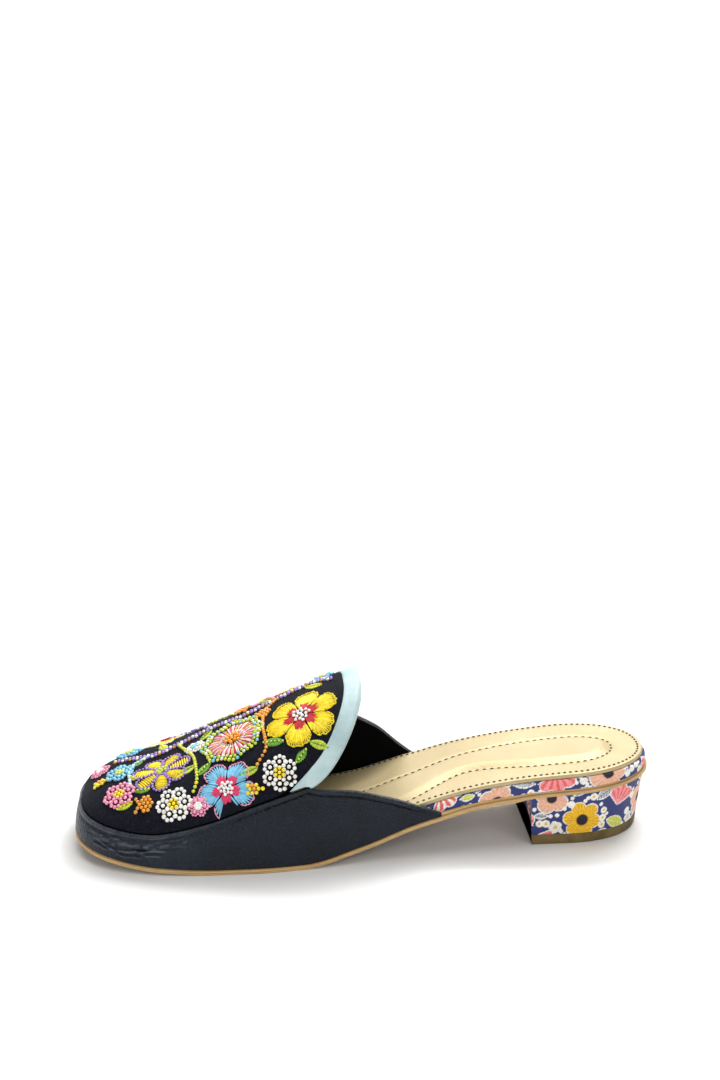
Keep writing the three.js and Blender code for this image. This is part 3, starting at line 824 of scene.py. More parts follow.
def even_places(count):
    """Places at even lengths round the outline, and its length."""
    place = np.linspace(0, 2, 6001)
    length = run_lengths(outline(place))
    return np.interp(np.linspace(0, length[-1], count + 1)[:-1], length, place), length[-1]


def ladder(places, distance, height, rows=33):
    """Cap across the outline, from the outer edge to the inner one."""
    outer = outline_offset(places, distance(places))
    inner = outline_offset(2 - places, distance(2 - places))
    plan = mix(outer[:, None], inner[:, None], np.linspace(0, 1, rows)[None, :, None])
    return raised(plan, height(plan[..., 0]))


def under_wall(place):
    """0 behind the side walls, 1 under them."""
    place = np.mod(place, 2)
    end = np.where(place <= 1, WALL_END[OUTER], WALL_END[INNER])
    return eased(station_of(place), (end - 0.08, end + 0.02))


def outsole_reach(place):
    """How far the outsole stands out from the platform."""
    return mix(*OUTSOLE_REACH, under_wall(place))


def outsole_level(inset, rise):
    """Distance and height of a ring of the outsole, whose upper ply is set back."""
    def distance(place):
        set_back = mix(*PLY_SET_BACK, under_wall(place)) if rise > UPPER_PLY else 0.0
        return outsole_reach(place) - inset - set_back

    def height(x):
        return sole_top(x) - outsole_thick(x) * (1 - rise)

    return distance, height


def outsole_painted_shade(rise):
    """Painted shade on the edge: darker at its foot by the floor, in the scored line and in the step between
    the plies.
    """
    scored, between = 0.27 < rise < 0.33, UPPER_PLY < rise < 0.65
    return 0.5 + 0.5 * ease(rise / 0.1) - 0.3 * scored - 0.35 * between


def outsole_shape():
    places, _ = even_places(420)
    side = rings(places, [outsole_level(*row) for row in OUTSOLE_EDGE])
    caps = np.linspace(0, 1, 160)
    bottom = ladder(caps, *outsole_level(*OUTSOLE_EDGE[0]))
    top = ladder(caps, lambda place: outsole_reach(place) - OUTSOLE_EDGE[-1][0], sole_top, 5)
    # painted shade of the edge rings: darker at the foot, in the scored line and between the plies
    shade = np.array([outsole_painted_shade(rise) for _, rise in OUTSOLE_EDGE])
    tints = (linear(208, 172, 118) * shade[:, None], linear(126, 104, 84), linear(150, 120, 84))
    colours = [np.broadcast_to(tint, grid.shape).reshape(-1, 3)
               for tint, grid in zip(tints, (side, bottom, top))]
    points, faces = join(
        (side, grid_faces(*side.shape[:2], wrap_rows=True, flip=True)),
        (bottom, grid_faces(*bottom.shape[:2])),
        (top, grid_faces(*top.shape[:2], flip=True)),
    )
    return points, faces, np.concatenate(colours)


def platform_level(inset, rise):
    def height(x):
        return mix(sole_top(x) + GAP * 0.4, platform_top(x), max(rise, 0.0))

    return lambda place: -inset - tuck(place), height


def platform_shape():
    """Wrapped edge of the platform, with distances along and up its cloth."""
    places, length = even_places(1500)
    side = rings(places, [platform_level(*row) for row in PLATFORM_EDGE])
    u = np.linspace(0, length, len(places), endpoint=False)[:, None] + 0 * side[..., 0]
    v = np.array([rise * PLATFORM[0] + inset for inset, rise in PLATFORM_EDGE])[None] + 0 * u
    return side, grid_faces(*side.shape[:2], wrap_rows=True, flip=True), u, v


def pad_outline(count=400):
    share = station_of(np.linspace(0, 1, count // 2))
    x = x_of(mix(*PAD_ENDS, share))
    outer = np.stack([x, -pad_width(OUTER, share)], -1)
    inner = np.stack([x, pad_width(INNER, share)], -1)
    return np.concatenate([outer, inner[-2:0:-1]])


def polygon_distance(points, ring):
    """Distance to a closed line, positive inside it."""
    flat = points.reshape(-1, 2)
    best = np.full(len(flat), 1e9)
    inside = np.zeros(len(flat), bool)
    for p, q in zip(ring, np.roll(ring, -1, 0)):
        d = q - p
        t = np.clip(((flat - p) @ d) / (d @ d + 1e-12), 0, 1)
        best = np.minimum(best, np.linalg.norm(flat - p - t[:, None] * d, axis=1))
        crosses = (p[1] > flat[:, 1]) != (q[1] > flat[:, 1])
        inside ^= crosses & (flat[:, 0] < d[0] * (flat[:, 1] - p[1]) / (d[1] + 1e-12) + p[0])
    return np.where(inside, best, -best).reshape(points.shape[:-1])


def sock_height(plan):
    """Height of the sock's top: the pad stands inside a pressed channel."""
    to_pad = polygon_distance(plan, pad_outline())
    pad = PAD_RISE * ease((to_pad - 0.2) / PAD_SLOPE)
    channel = -CHANNEL_DEPTH * np.exp(-(to_pad / CHANNEL_HALF) ** 2)
    return platform_top(plan[..., 0]) + GAP + SOCK + pad + channel


def sock_edge(place):
    return -SOCK_INSET - tuck(place)


def sock_level(inset, rise):
    def height(x):
        return platform_top(x) + GAP + SOCK * rise

    return lambda place: sock_edge(place) - inset, height


def sock_shape():
    places = np.linspace(0, 1, 230)
    levels = [sock_level(*row) for row in SOCK_EDGE]
    middle = ladder(places, lambda place: sock_edge(place) - 1.0, platform_top, 71)
    middle[..., 2] = sock_height(middle[..., :2])
    grid = np.concatenate([rings(places, levels), middle, rings(2 - places, levels)[:, ::-1]], 1)
    return grid, grid_faces(*grid.shape[:2], flip=True)


def heel_point(side, t, down):
    """Plan of the heel at shares from its back to the middle of its breast."""
    flat, breast = 0.08, 18 / 22
    back = x_of(0) - HEEL_INSET - HEEL_TAPER_BACK * down
    front = x_of(BREAST_STATION) + HEEL_TAPER_FRONT * down

    def half(x):
        seat = station_at(x + HEEL_TAPER_BACK * down * np.clip((x - front) / (back - front), 0, 1))
        return np.maximum(0, platform_width(side, np.maximum(0, seat)) - HEEL_INSET - HEEL_TAPER_SIDE * down)

    around = mix(back, front, 1 - np.cos(np.pi / 2 * np.clip((t - flat) / (breast - flat), 0, 1)))
    across = 1 - np.clip((t - breast) / (1 - breast), 0, 1)
    x = np.where(t <= breast, around, front + BREAST_HOLLOW * (1 - across ** 2))
    y = np.where(t <= breast, half(around) * np.clip(t / flat, 0, 1), half(np.array(front)) * across)
    return np.stack([x, sign(side) * y], -1)


def heel_ring(run, down):
    """Plan round the heel: 0 back, 1 middle of the breast by the outer side, 2 back again."""
    t = np.minimum(run, 2 - run)
    return np.where((run <= 1)[:, None], heel_point(OUTER, t, down), heel_point(INNER, t, down))


def heel_runs(count):
    """Runs at even lengths round the heel, and the lengths."""
    run = np.linspace(0, 2, 6001)[:-1]
    length = run_lengths(heel_ring(run, 0.0))
    at = np.linspace(0, length[-1], count, endpoint=False)
    return np.interp(at, length, run), at


def block_faces(grid, flip=False):
    """Faces round a block of rings, with ladder caps at both ends."""
    count, levels = grid.shape[:2]
    outer = np.arange(0, count // 2 + 1)
    inner = -outer % count
    faces = grid_faces(count, levels, wrap_rows=True, flip=flip).tolist()
    for level, turned in ((0, not flip), (levels - 1, flip)):
        for corners in zip(outer[:-1], outer[1:], inner[1:], inner[:-1]):
            face = [k * levels + level for k in dict.fromkeys(corners)]
            faces.append(face[::-1] if turned else face)
    return faces


def heel_shape():
    """Heel block, with distances along and up its cloth."""
    run, at = heel_runs(640)
    foot = LIFT + GAP * 0.3
    levels = []
    for down in np.linspace(0, 1, HEEL_LEVELS):
        plan = heel_ring(run, down)
        seat = sole_top(plan[:, 0]) - outsole_thick(plan[:, 0]) - GAP * 0.3
        levels.append(raised(plan, mix(seat, foot, down)))
    grid = np.stack(levels, 1)
    return grid, block_faces(grid), at[:, None] + 0 * grid[..., 0], grid[..., 2]


def lift_shape():
    """Top lift, in which the heel's taper goes on at about half its rate."""
    run, _ = heel_runs(300)
    end = 1 + LIFT / 40
    levels = ((end + 0.3, 0.0), (end + 0.06, 0.02), (end + 0.02, 0.25), (end, 0.6),
              (1.06, 2.2), (1.0, 4.2), (1.02, LIFT), (1.5, LIFT))
    grid = np.stack([raised(heel_ring(run, down), height) for down, height in levels], 1)
    return grid, block_faces(grid, flip=True)


# Printed cloth
NAVY = linear(50, 60, 118)
WHITE = linear(244, 242, 236)
YELLOW = linear(244, 194, 40)
PEACH = linear(238, 188, 160)
CORAL = linear(232, 104, 92)
PINK = linear(244, 150, 160)
LIME = linear(196, 206, 62)
TEAL = linear(80, 150, 160)
GREY = linear(196, 198, 200)
INK = linear(34, 30, 44)


def painted(mask, colour, other):
    return np.where(mask[:, None], colour, other)


def petal_bloom(x, y, radius, petals, colour, line, core):
    """Round petals with fine lines and a dark middle: depth inside the edge and colours."""
    r, turn = np.hypot(x, y), np.arctan2(y, x)
    edge = radius * (0.70 + 0.30 * np.abs(np.cos(petals * turn / 2)) ** 0.7)
    colours = painted((np.cos(turn * petals * 5) > 0.72) & (r > 0.42 * edge), line, colour)
    colours = painted(r < 0.30 * radius, core, colours)
    colours = painted((r > 0.30 * radius) & (r < 0.36 * radius), line, colours)
    return edge - r, colours


def cup_bloom(x, y, radius, colour, line):
    """Half open cup with stripes."""
    up = y + 0.45 * radius
    r, turn = np.hypot(x, up), np.arctan2(up, x) - np.pi / 2
    edge = radius * 1.25 * (0.86 + 0.14 * np.abs(np.cos(5 * turn)))
    side = (0.95 - np.abs(turn)) * r
    return np.minimum(edge - r, side), painted((np.cos(turn * 17) > 0.25) & (r > 0.35 * radius), line, colour)


def veined_leaf(x, y, radius, colour, line):
    """Pointed leaf with a rib and side veins."""
    t = np.clip(x / radius, -1, 1)
    edge = 0.46 * radius * (1 - t * t) ** 0.8
    vein = (np.abs(y) < 0.16) | (np.abs(np.mod(x - 0.8 * np.abs(y), 1.5) - 0.75) < 0.14)
    return np.minimum(edge - np.abs(y), radius - np.abs(x)), painted(vein, line, colour)


def dotted(x, y, radius, colour, core):
    r = np.hypot(x, y)
    return radius - r, painted(r < 0.5 * radius, core, colour)


# a function and the values that follow its radius
PRINTS = [
    (petal_bloom, 6, YELLOW, linear(214, 150, 24), INK),
    (cup_bloom, PINK, CORAL),
    (petal_bloom, 4, PEACH, linear(226, 164, 136), INK),
    (veined_leaf, LIME, linear(232, 232, 150)),
    (veined_leaf, GREY, linear(90, 92, 104)),
    (cup_bloom, CORAL, WHITE),
    (petal_bloom, 5, WHITE, GREY, YELLOW),
    (veined_leaf, TEAL, WHITE),
    (dotted, WHITE, YELLOW),
    (dotted, WHITE, WHITE),
]
BLOOM, CUP, PETALS, LEAF, GREY_LEAF, CORAL_CUP, DAISY, TEAL_LEAF, EYE, DOT = range(10)
# radius and kinds of each round of the scatter
SCATTER = [(8.2, (BLOOM, CUP, PETALS, CORAL_CUP)), (5.0, (LEAF, GREY_LEAF, TEAL_LEAF, CUP)),
           (2.6, (DAISY, LEAF, GREY_LEAF)), (1.3, (EYE, DOT)), (0.7, (DOT,))]
# motifs of the heel, given one by one: along, up, radius, kind, turn
HEEL_PRINT = [
    (46, 11, 8.6, BLOOM, 0.2), (28, 19, 7.6, CUP, 0.3), (60, 22, 7.4, PETALS, 0.6),
    (12, 14, 7.6, PETALS, 0.4), (29, 7.5, 5.0, LEAF, 0.4), (36, 23, 4.4, GREY_LEAF, -0.6),
    (20, 7, 2.4, DAISY, 0), (58, 8, 2.6, DAISY, 0), (3, 24, 4.6, TEAL_LEAF, 0.5), (36, 14.5, 1.2, EYE, 0),
]


def scattered(placed, length, low, high, seed):
    """Adds smaller and smaller motifs where there is room, the same on each run."""
    rng = np.random.default_rng(seed)
    motifs = list(placed)
    taken = np.array([motif[:3] for motif in motifs]).reshape(-1, 3)
    for size, kinds in SCATTER:
        for _ in range(int(length * 3)):
            u, v = rng.uniform(0, length), rng.uniform(low, high)
            kind = kinds[rng.integers(len(kinds))]
            radius, turn = size * rng.uniform(0.9, 1.1), rng.uniform(0, 2 * np.pi)
            apart = np.hypot(u - taken[:, 0], v - taken[:, 1])
            if np.all(apart > 0.92 * (radius + taken[:, 2]) + 0.25):
                motifs.append((u, v, radius, kind, turn))
                taken = np.vstack([taken, (u, v, radius)])
    return motifs


def printed(u, v, motifs):
    """Colours of the print at distances along and up the cloth."""
    colours = np.broadcast_to(NAVY, (u.size, 3)).copy()
    u, v = u.ravel(), v.ravel()
    for at, up, radius, kind, turn in motifs:
        near = np.flatnonzero(np.hypot(u - at, v - up) < radius * 1.5 + 0.8)
        x, y = u[near] - at, v[near] - up
        x, y = x * math.cos(turn) + y * math.sin(turn), y * math.cos(turn) - x * math.sin(turn)
        motif, *values = PRINTS[kind]
        depth, fill = motif(x, y, radius, *values)
        line = min(0.5, 0.3 * radius)
        colours[near[depth > -line]] = WHITE
        colours[near[depth > 0]] = fill[depth > 0]
    return colours


# Beads and threads
THREAD = {
    "yellow": linear(250, 222, 36), "red": linear(196, 24, 40), "white": linear(246, 244, 238),
    "sky": linear(132, 204, 236), "pink": linear(248, 158, 190), "rose": linear(226, 60, 110),
    "orange": linear(246, 160, 44), "lime": linear(204, 220, 70), "purple": linear(158, 128, 206),
    "gold": linear(206, 150, 44), "green": linear(110, 170, 60), "cream": linear(246, 226, 196),
}
GOLDEN_TURN = 2.39996
DROP_HEIGHT, DROP_REACH = 200, 25
BRIGHTEST = 0.98
# radius and height of a bead's rings, as shares of its radius
BEAD_RINGS = [(0.55, -0.75), (0.97, -0.2), (0.9, 0.45), (0.5, 0.88)]
BEAD_SIDES, BEAD_FLATTEN, BEAD_SEAT = 8, 0.8, 0.55
# across and up over a thread, as shares of its half width and loft
THREAD_ARCH = np.array([(-1, -0.2), (-0.72, 0.62), (0, 1), (0.72, 0.62), (1, -0.2)])
# share along a thread, share of its width, rise
THREAD_ALONG = np.array([(0, 0.55, -0.1), (0.3, 1, 1), (0.7, 1, 1), (1, 0.55, -0.1)])


def polar(radius, angle):
    return radius * np.array([math.cos(angle), math.sin(angle)])


def bead_template():
    turns = np.linspace(0, 2 * np.pi, BEAD_SIDES, endpoint=False)
    points = [(*polar(radius, turn), z) for turn in turns for radius, z in BEAD_RINGS] + [(0, 0, 0.97)]
    levels, last = len(BEAD_RINGS), len(points) - 1
    faces = grid_faces(BEAD_SIDES, levels, wrap_rows=True).tolist()
    tops = [levels * k + levels - 1 for k in range(BEAD_SIDES)]
    return np.array(points), faces + [[a, b, last] for a, b in zip(tops, tops[1:] + tops[:1])]


class Needlework:
    """Beads and threads laid on a surface, kept as lists until they are joined."""

    def __init__(self, points, faces, seed):
        self.tree = BVHTree.FromPolygons(points.reshape(-1, 3).tolist(), faces.tolist())
        self.rng = np.random.default_rng(seed)
        self.beads = []
        self.strands = []

    def seat(self, x, y, turn=0.0):
        """Spot above the plan, with two directions on the surface and its normal."""
        spot, normal = self.below(Vector((x, y, DROP_HEIGHT)), Vector((0, 0, -1)))
        first = (Vector((1, 0, 0)) - normal * normal.x).normalized()
        second = normal.cross(first)
        return (spot, first * math.cos(turn) + second * math.sin(turn),
                second * math.cos(turn) - first * math.sin(turn), normal)

    def below(self, start, direction):
        spot, normal, _, _ = self.tree.ray_cast(start, direction)
        if spot is None:
            return None
        return spot, normal if normal.z > 0 else -normal

    def drop(self, seat, plan):
        spot, first, second, normal = seat
        return self.below(spot + first * plan[0] + second * plan[1] + normal * DROP_REACH, -normal)

    def bead(self, seat, plan, colour, radius, rise=0.0):
        hit = self.drop(seat, plan)
        if hit:
            spot, normal = np.array(hit[0]), np.array(hit[1])
            shade = np.clip(THREAD[colour] * self.rng.uniform(0.86, 1.1), 0, BRIGHTEST)
            radius = radius * self.rng.uniform(0.92, 1.06)
            self.beads.append((spot + normal * rise, normal, radius, shade))

    def strand(self, seat, start, end, colour, half, loft=0.45):
        start, end = np.array(start), np.array(end)
        hits = [self.drop(seat, mix(start, end, t)) for t in THREAD_ALONG[:, 0]]
        if all(hits):
            spots, normals = (np.array(column) for column in zip(*hits))
            shade = np.clip(THREAD[colour] * self.rng.uniform(0.82, 1.12), 0, BRIGHTEST)
            self.strands.append((spots, normals, half, loft * self.rng.uniform(0.85, 1.2), shade))

    def heap(self, seat, colour, count, reach, radius, rise, fall=0.0):
        """Beads in a spiral from the middle out."""
        for k in range(count):
            spot = polar(reach * math.sqrt(k / count), k * GOLDEN_TURN)
            self.bead(seat, spot, colour, radius, rise - fall * k)

    def bead_mesh(self):
        template, faces = bead_template()
        at, normal, radius, colour = (np.array(column) for column in zip(*self.beads))
        side = np.cross(normal, [0.3, 0.9, 0.2])
        side /= np.linalg.norm(side, axis=1, keepdims=True)
        axes = np.stack([side, np.cross(normal, side), normal], 1)
        seated = template * [1, 1, BEAD_FLATTEN] + [0, 0, BEAD_SEAT]
        points = at[:, None] + radius[:, None, None] * (seated @ axes)
        every = [[k + i * len(template) for k in face] for i in range(len(at)) for face in faces]
        return points.reshape(-1, 3), every, np.repeat(colour, len(template), 0)

    def strand_mesh(self):
        lines, normal, half, loft, colour = (np.array(column) for column in zip(*self.strands))
        side = np.cross(np.gradient(lines, axis=1), normal)
        side /= np.linalg.norm(side, axis=-1, keepdims=True) + 1e-9
        width = half[:, None, None] * THREAD_ALONG[:, 1, None] * THREAD_ARCH[:, 0]
        rise = loft[:, None, None] * (THREAD_ARCH[:, 1] * 0.55 + 0.45 * THREAD_ALONG[:, 2, None])
        spread = side[:, :, None] * width[..., None] + normal[:, :, None] * rise[..., None]
        points = lines[:, :, None] + spread
        count = len(THREAD_ALONG) * len(THREAD_ARCH)
        grid = grid_faces(len(THREAD_ALONG), len(THREAD_ARCH), flip=True)
        every = np.concatenate([grid + count * i for i in range(len(lines))])
        return points.reshape(-1, 3), every, np.repeat(colour, count, 0)


def satin_flower(work, x, y, radius, petals, turn, outer, inner, edge, core):
    """Petals of two bands of satin stitch with a looped edge and a beaded middle."""
    seat = work.seat(x, y, turn)
    spokes = max(9, int(radius * 1.15))
    for k in range(petals):
        middle, half = 2 * np.pi * k / petals, np.pi / petals * 0.9
        rim = []
        for s in np.linspace(-1, 1, spokes):
            a, c = middle + half * s * 0.72, middle + half * s
            b = mix(a, c, 0.5)
            tip = radius * (0.66 + 0.34 * math.sqrt(1 - 0.97 * s * s)) * work.rng.uniform(0.95, 1.05)
            split = tip * work.rng.uniform(0.48, 0.6)
            work.strand(seat, polar(0.16 * radius, a), polar(split, b), inner, half=0.38)
            work.strand(seat, polar(split * 0.94, b), polar(tip, c), outer, half=0.42, loft=0.6)
            rim.append(polar(tip + 0.35, c))
        for p, q in zip(rim[:-1], rim[1:]):
            work.strand(seat, p, q, edge, half=0.3, loft=0.7)
    work.heap(seat, core, count=16, reach=0.27 * radius, radius=0.78, rise=0.35)


def bead_rosette(work, x, y, radius, colour, core):
    """Six loops of beads round a small middle."""
    seat = work.seat(x, y, work.rng.uniform(0, 1))
    loop = 0.34 * radius
    for k in range(6):
        a = np.pi * k / 3
        centre = polar(0.64 * radius, a)
        for j in range(8):
            spot = centre + polar(loop, a + np.pi * j / 4)
            work.bead(seat, spot, colour, radius=min(0.98, 0.40 * loop), rise=0.1)
        work.bead(seat, centre, colour, radius=0.92, rise=0.35)
    for k in range(7):
        work.bead(seat, polar(0.26 * radius * (k > 0), k * np.pi / 3), core, radius=0.84, rise=0.5)


def bead_daisy(work, x, y, radius, petals, turn, colour, fill, core):
    """Long petals outlined in beads and filled with short stitches."""
    seat = work.seat(x, y, turn)
    wide = radius * math.sin(np.pi / petals) * 0.80
    for k in range(petals):
        a = 2 * np.pi * k / petals
        axis, cross = polar(1, a), polar(1, a + np.pi / 2)
        for t in np.linspace(0, 1, 2 * int(radius * 0.85))[:-1]:
            around = 2 * np.pi * t
            out = 0.60 - 0.40 * math.cos(around)
            reach = wide * math.sin(around) * (0.5 + 0.55 * out)
            work.bead(seat, axis * radius * out + cross * reach, colour, radius=0.66)
        for out in np.linspace(0.3, 0.88, 8):
            around = math.acos(np.clip((0.6 - out) / 0.4, -1, 1))
            reach = wide * math.sin(around) * (0.5 + 0.55 * out) * 0.72
            start, end = axis * radius * out - cross * reach, axis * radius * (out + 0.04) + cross * reach
            work.strand(seat, start, end, fill, half=0.42, loft=0.6)
    work.heap(seat, core, count=9, reach=0.2 * radius, radius=0.8, rise=0.4)


def dahlia(work, x, y, radius):
    """Full round of fine rays with a scalloped beaded edge and a heaped middle."""
    def scallop(angle):
        return 1 + 0.06 * math.cos(8 * angle)

    seat = work.seat(x, y)
    rays = ["pink", "red", "white", "cream", "rose", "pink", "white", "red", "lime"]
    edge = ["lime", "lime", "sky", "lime", "white", "lime"]
    for k in range(84):
        a = 2 * np.pi * k / 84
        reach = 0.76 * radius * scallop(a)
        first = radius * (0.24, 0.44, 0.34)[k % 3]
        colour = rays[k % len(rays)]
        work.strand(seat, polar(first, a), polar(0.6 * reach, a + 0.02), colour, half=0.27)
        work.strand(seat, polar(0.58 * reach, a + 0.02), polar(reach, a), colour, half=0.3, loft=0.6)
    for row, share in enumerate((0.82, 0.94)):
        count = int(2 * np.pi * radius * share / 1.8)
        for k in range(count):
            a = 2 * np.pi * k / count
            colour = edge[(k + 2 * row) % len(edge)]
            work.bead(seat, polar(radius * share * scallop(a), a), colour, radius=0.86, rise=0.1)
    work.heap(seat, "orange", count=19, reach=0.27 * radius, radius=0.9, rise=0.6, fall=0.03)


def leaf(work, x, y, length, turn, colour, rib):
    """Satin leaf: stitches slant from its rib to its edges."""
    seat = work.seat(x, y, turn)
    for t in np.linspace(0.02, 0.84, int(length * 1.25)):
        wide = 0.25 * length * math.sin(np.pi * min(1.0, t + 0.14)) ** 0.8
        for side in (-1, 1):
            end = ((t + 0.14) * length, side * wide)
            work.strand(seat, (t * length, 0.1 * side), end, colour, half=0.42, loft=0.5)
    for t in np.linspace(0, 0.95, int(length / 1.3)):
        work.bead(seat, (t * length, 0), rib, radius=0.5, rise=0.35)


def berries(work, x, y, radius, colour, other):
    """Heap of round beads."""
    seat = work.seat(x, y)
    step = 1.75
    count = int(radius / step) + 1
    for i in range(-count, count + 1):
        for j in range(-count, count + 1):
            u, v = step * (i + 0.5 * (j % 2)), step * 0.87 * j
            r = math.hypot(u, v)
            if r < radius * (0.82 + 0.18 * math.cos(5 * math.atan2(v, u))):
                bead_colour = colour if (i + j) % 4 else other
                work.bead(seat, (u, v), bead_colour, radius=0.9, rise=0.5 * (1 - r / radius))


def bead_string(work, spots, colours, radius=0.86):
    """Row of beads on a smooth line over the plan."""
    table = np.column_stack([np.arange(len(spots)), spots])
    t = np.linspace(0, len(spots) - 1, 400)
    line = np.stack([smooth(table, column)(t) for column in (1, 2)], 1)
    length = run_lengths(line)
    for k, at in enumerate(np.arange(0, length[-1], 1.9 * radius)):
        x, y = (np.interp(at, length, line[:, j]) for j in (0, 1))
        work.bead(work.seat(x, y), (0, 0), colours[k % len(colours)], radius)


# points on the plan, then the colours in turn
VINE = [(-14, 5), (-24, 10), (-38, 8), (-52, 6), (-66, 9), (-80, 7), (-94, 5), (-108, 8)]
STRINGS = [
    (VINE, ["purple", "white", "purple", "gold"]),
    ([(x, y + 1.7) for x, y in VINE], ["purple", "purple", "white"]),
    ([(-38, 8), (-43, 0), (-44, -12), (-43, -24), (-47, -30)], ["orange", "orange", "gold"]),
    ([(-80, 7), (-76, -4), (-73, -14), (-72, -26), (-74, -32)], ["lime", "yellow", "lime"]),
    ([(-94, 5), (-99, 0), (-101, -8), (-100, -18)], ["sky", "white"]),
    ([(-66, 9), (-68, 16), (-76, 23), (-84, 24)], ["purple", "purple", "white"]),
    ([(-38, 8), (-40, 16), (-42, 22)], ["orange", "gold"]),
]
# plan and radius or length, then petals, turn and colours where the motif has them
MOTIFS = [
    (satin_flower, [(-28, -15, 15.5, 6, 0.3, "yellow", "red", "yellow", "white"),
                    (-60, -33.5, 12, 5, 0.9, "sky", "rose", "pink", "white"),
                    (-42, 25, 11, 5, 0.2, "pink", "sky", "pink", "yellow"),
                    (-86, 25, 9.5, 6, 0.5, "yellow", "orange", "white", "red")]),
    (dahlia, [(-57, -10, 14.5), (-64, 29, 9.5)]),
    (bead_daisy, [(-87, -13, 12.8, 7, 0.2, "purple", "yellow", "lime"),
                  (-30, 22, 7.5, 6, 0.2, "yellow", "purple", "lime")]),
    (bead_rosette, [(-81.5, -33, 7.2, "white", "yellow"), (-38, -34.5, 7.0, "white", "yellow"),
                    (-104.5, -21, 6.6, "pink", "yellow"), (-105, -5, 6.2, "sky", "lime"),
                    (-114, 5, 4.4, "pink", "white"), (-102, 17, 5.6, "sky", "lime"),
                    (-73, -3, 4.6, "white", "sky"), (-17, 14, 5.0, "sky", "yellow"),
                    (-78, 35, 5.4, "white", "red")]),
    (berries, [(-44, -1, 4.6, "orange", "gold"), (-94, -29.5, 4.8, "orange", "gold"),
               (-113, -8, 3.6, "yellow", "orange"), (-52, 17, 5.0, "orange", "gold")]),
    (leaf, [(-44, -14, 9, 2.4, "lime", "yellow"), (-44, -22, 9, -0.2, "green", "lime"),
            (-73, -18, 8, 3.5, "lime", "green"), (-72, -24, 8, 0.7, "green", "lime")]),
    (bead_rosette, [(-71.5, -36, 4.2, "pink", "white")]),
    (berries, [(-48.5, -36.5, 3.6, "yellow", "orange")]),
    (leaf, [(-47, -31, 8, -2.9, "lime", "green"), (-31, -33, 7, 0.9, "green", "lime"),
            (-25, 8, 9, -0.6, "lime", "yellow"), (-40, 9, 8, 2.2, "green", "lime"),
            (-66, 8, 8, -2.3, "lime", "green"), (-86, 8, 8, 1.9, "lime", "yellow"),
            (-96, 3, 7, -2.4, "green", "lime"), (-72, 22, 8, 1.0, "lime", "green"),
            (-98, -14, 6, 2.2, "lime", "yellow"), (-92, -23, 7, 3.0, "green", "yellow"),
            (-25, -28.5, 8, -0.4, "lime", "green"), (-99, -27, 7, 3.4, "lime", "yellow")]),
]


def embroider(work):
    for spots, colours in STRINGS:
        bead_string(work, spots, colours)
    for motif, rows in MOTIFS:
        for row in rows:
            motif(work, *row)


# Stitches of the sock
STITCH_BROWN = linear(50, 42, 24)
STITCH_INSET, STITCH_HALF, STITCH_LOFT = 2.0, 0.44, 0.42


def stitched(work, ring, spacing, length):
    """Dashes along a line on the sock's plan."""
    run = run_lengths(ring)
    at = np.arange(int(run[-1] / spacing))[:, None] * spacing + THREAD_ALONG[:, 0] * length
    plan = np.stack([np.interp(at, run, ring[:, j]) for j in (0, 1)], -1)
    up = np.tile([0.0, 0.0, 1.0], (len(THREAD_ALONG), 1))
    for line in raised(plan, sock_height(plan) + 0.03):
        work.strands.append((line, up, STITCH_HALF, STITCH_LOFT, STITCH_BROWN * work.rng.uniform(0.7, 1.3)))


def sock_stitches(work):
    places = np.linspace(0, 2, 1200)
    stitched(work, outline_offset(places, sock_edge(places) - STITCH_INSET), spacing=2.5, length=1.2)
    stitched(work, np.concatenate([pad_outline(), pad_outline()[:1]]), spacing=3.1, length=1.6)


# Pieces
whole_wall, wall_points, wall_normal, colours = side_walls()
faces = grid_faces(*whole_wall.shape[:2])
piece("side_walls", whole_wall, faces, "upper", "black_leather", leather_look(), colours)
points, faces, colours = lining_shape(wall_points, wall_normal)
piece("lining", points, faces, "upper", "black_leather", lining_look(), colours)

cloth_points = apron_cloth()
cloth_faces = grid_faces(*cloth_points.shape[:2], flip=True)
cloth = piece("apron_cloth", cloth_points, cloth_faces, "apron", "apron_cloth", apron_look())
points = binding_grid()
faces = grid_faces(*points.shape[:2], flip=True)
piece("throat_binding", points, faces, "collar_binding", "pale_binding", binding_look())

points, faces, colours = outsole_shape()
piece("outsole_plies", points, faces, "outsole", "tan_outsole", tan_look(), colours)

print_material = print_look()
points, faces, u, v = platform_shape()
colours = printed(u, v, scattered([], u.max(), low=-4.5, high=9.5, seed=5))
piece("platform_wrap", points, faces, "insole_platform", "printed_cloth", print_material, colours)
points, faces, u, v = heel_shape()
colours = printed(u, v, scattered(HEEL_PRINT, u.max(), low=2.0, high=27.0, seed=8))
piece("heel_wrap", points, faces, "heel_block", "printed_cloth", print_material, colours)
piece("lift_rubber", *lift_shape(), "top_lift", "lift_rubber", lift_look())

sock = piece("sock_pad", *sock_shape(), "sock", "gold_sock", gold_look())

work = Needlework(cloth_points, grid_faces(*cloth_points.shape[:2]), seed=11)
embroider(work)
thread_material = thread_look()
points, faces, colours = work.bead_mesh()
beads = piece("seed_beads", points, faces, None, "seed_beads", bead_look(), colours)
points, faces, colours = work.strand_mesh()
satin = piece("satin_threads", points, faces, None, "thread", thread_material, colours)
work.strands = []
sock_stitches(work)
points, faces, colours = work.strand_mesh()
piece("sock_stitches", points, faces, None, "thread", thread_material, colours)

# Floor, light and camera, in metres
FLOOR_FLAT, FLOOR_BEND, BEND_RADIUS = 1.2, 1.6, 1.02
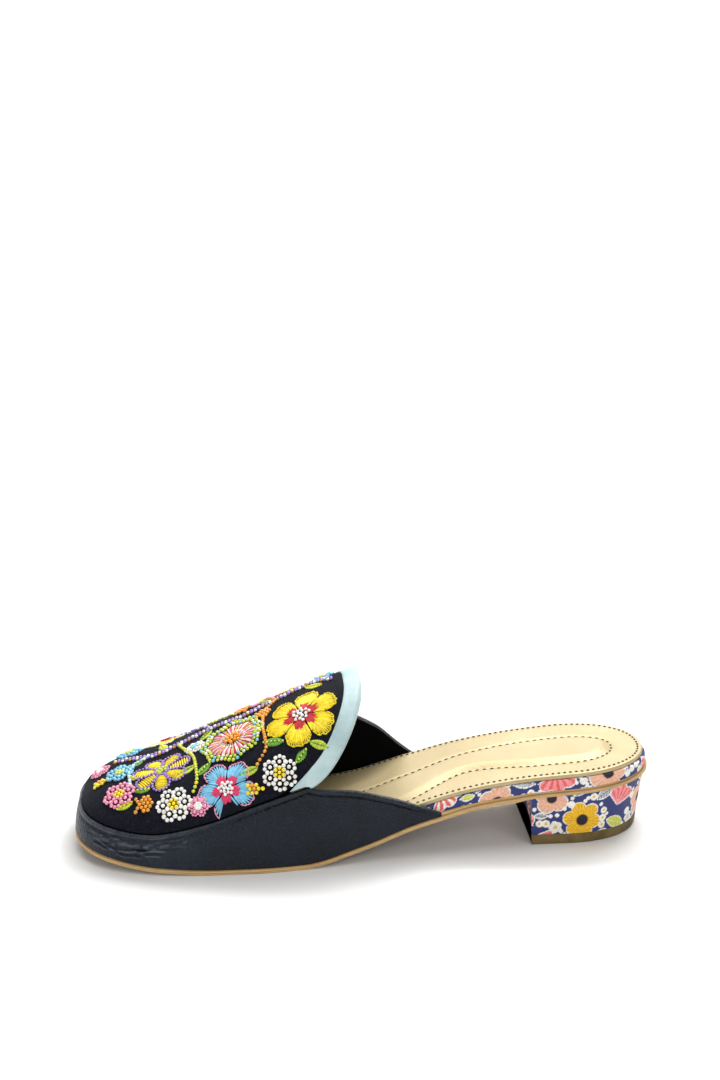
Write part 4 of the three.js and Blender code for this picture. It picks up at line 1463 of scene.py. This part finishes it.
# name, place, aim, size, power
LIGHTS = [
    ("key", (0.4, 0.5, 1.0), (0.02, 0, 0), (0.6, 0.6), 8),
    ("top", (0.1, -0.05, 1.2), (0, 0, 0), (0.7, 0.7), 4),
    ("fill", (-0.75, -0.85, 0.42), (0, 0, 0.03), (0.7, 0.4), 3.6),
    ("front", (0.5, -0.7, 0.55), (0.02, 0, 0.03), (0.5, 0.4), 1.6),
    ("sweep", (0, 1.3, 1.9), (0, 2.0, 0.3), (2.4, 0.8), 55),
]
SKY_COLOUR, SKY_STRENGTH = (1.0, 0.97, 0.92, 1.0), 0.28
EYE_PLACE, EYE_DOWN, EYE_TURN, LENS = (-0.05651, -0.67073, 0.32495), 16.162, -4.699, 56.04


def floor():
    """Paper sweep: flat under the shoe, rising behind it."""
    run = np.linspace(-2.2, 4.4, 67)
    bend = np.clip((run - FLOOR_FLAT) / FLOOR_BEND, 0, 1) * np.pi / 2
    y = np.minimum(run, FLOOR_FLAT) + BEND_RADIUS * np.sin(bend)
    z = BEND_RADIUS * (1 - np.cos(bend)) + np.maximum(run - FLOOR_FLAT - FLOOR_BEND, 0)
    x = np.linspace(-3, 3, 41)
    points = np.stack([np.repeat(x, len(run)), np.tile(y, len(x)), np.tile(z, len(x))], -1)
    mesh = bpy.data.meshes.new("floor")
    mesh.from_pydata(points, [], grid_faces(len(x), len(run)).tolist())
    mesh.shade_smooth()
    look = Look("floor_paper", Roughness=0.8, Specular_IOR_Level=0.2)
    look.colour(look.ramp(look.noise(3), (0.3, (0.81,) * 3), (0.7, (0.83,) * 3)))
    mesh.materials.append(look.material)
    obj = bpy.data.objects.new("floor", mesh)
    bpy.context.scene.collection.objects.link(obj)


def area_light(name, at, aim, size, power):
    light = bpy.data.lights.new(name, "AREA")
    light.shape = "RECTANGLE"
    light.size, light.size_y = size
    light.energy = power
    obj = bpy.data.objects.new(name, light)
    obj.location = at
    obj.rotation_euler = (Vector(aim) - Vector(at)).to_track_quat("-Z", "Y").to_euler()
    bpy.context.scene.collection.objects.link(obj)


def sky():
    world = bpy.data.worlds.new("studio")
    world.use_nodes = True
    background = world.node_tree.nodes["Background"]
    background.inputs["Color"].default_value = SKY_COLOUR
    background.inputs["Strength"].default_value = SKY_STRENGTH
    bpy.context.scene.world = world


def eye():
    camera = bpy.data.cameras.new("camera")
    camera.lens = LENS
    camera.clip_start = 0.01
    obj = bpy.data.objects.new("camera", camera)
    obj.location = EYE_PLACE
    obj.rotation_euler = (math.radians(90 - EYE_DOWN), 0, math.radians(EYE_TURN))
    bpy.context.scene.collection.objects.link(obj)
    bpy.context.scene.camera = obj


floor()
sky()
for row in LIGHTS:
    area_light(*row)
eye()
bpy.context.scene.view_settings.view_transform = "Standard"
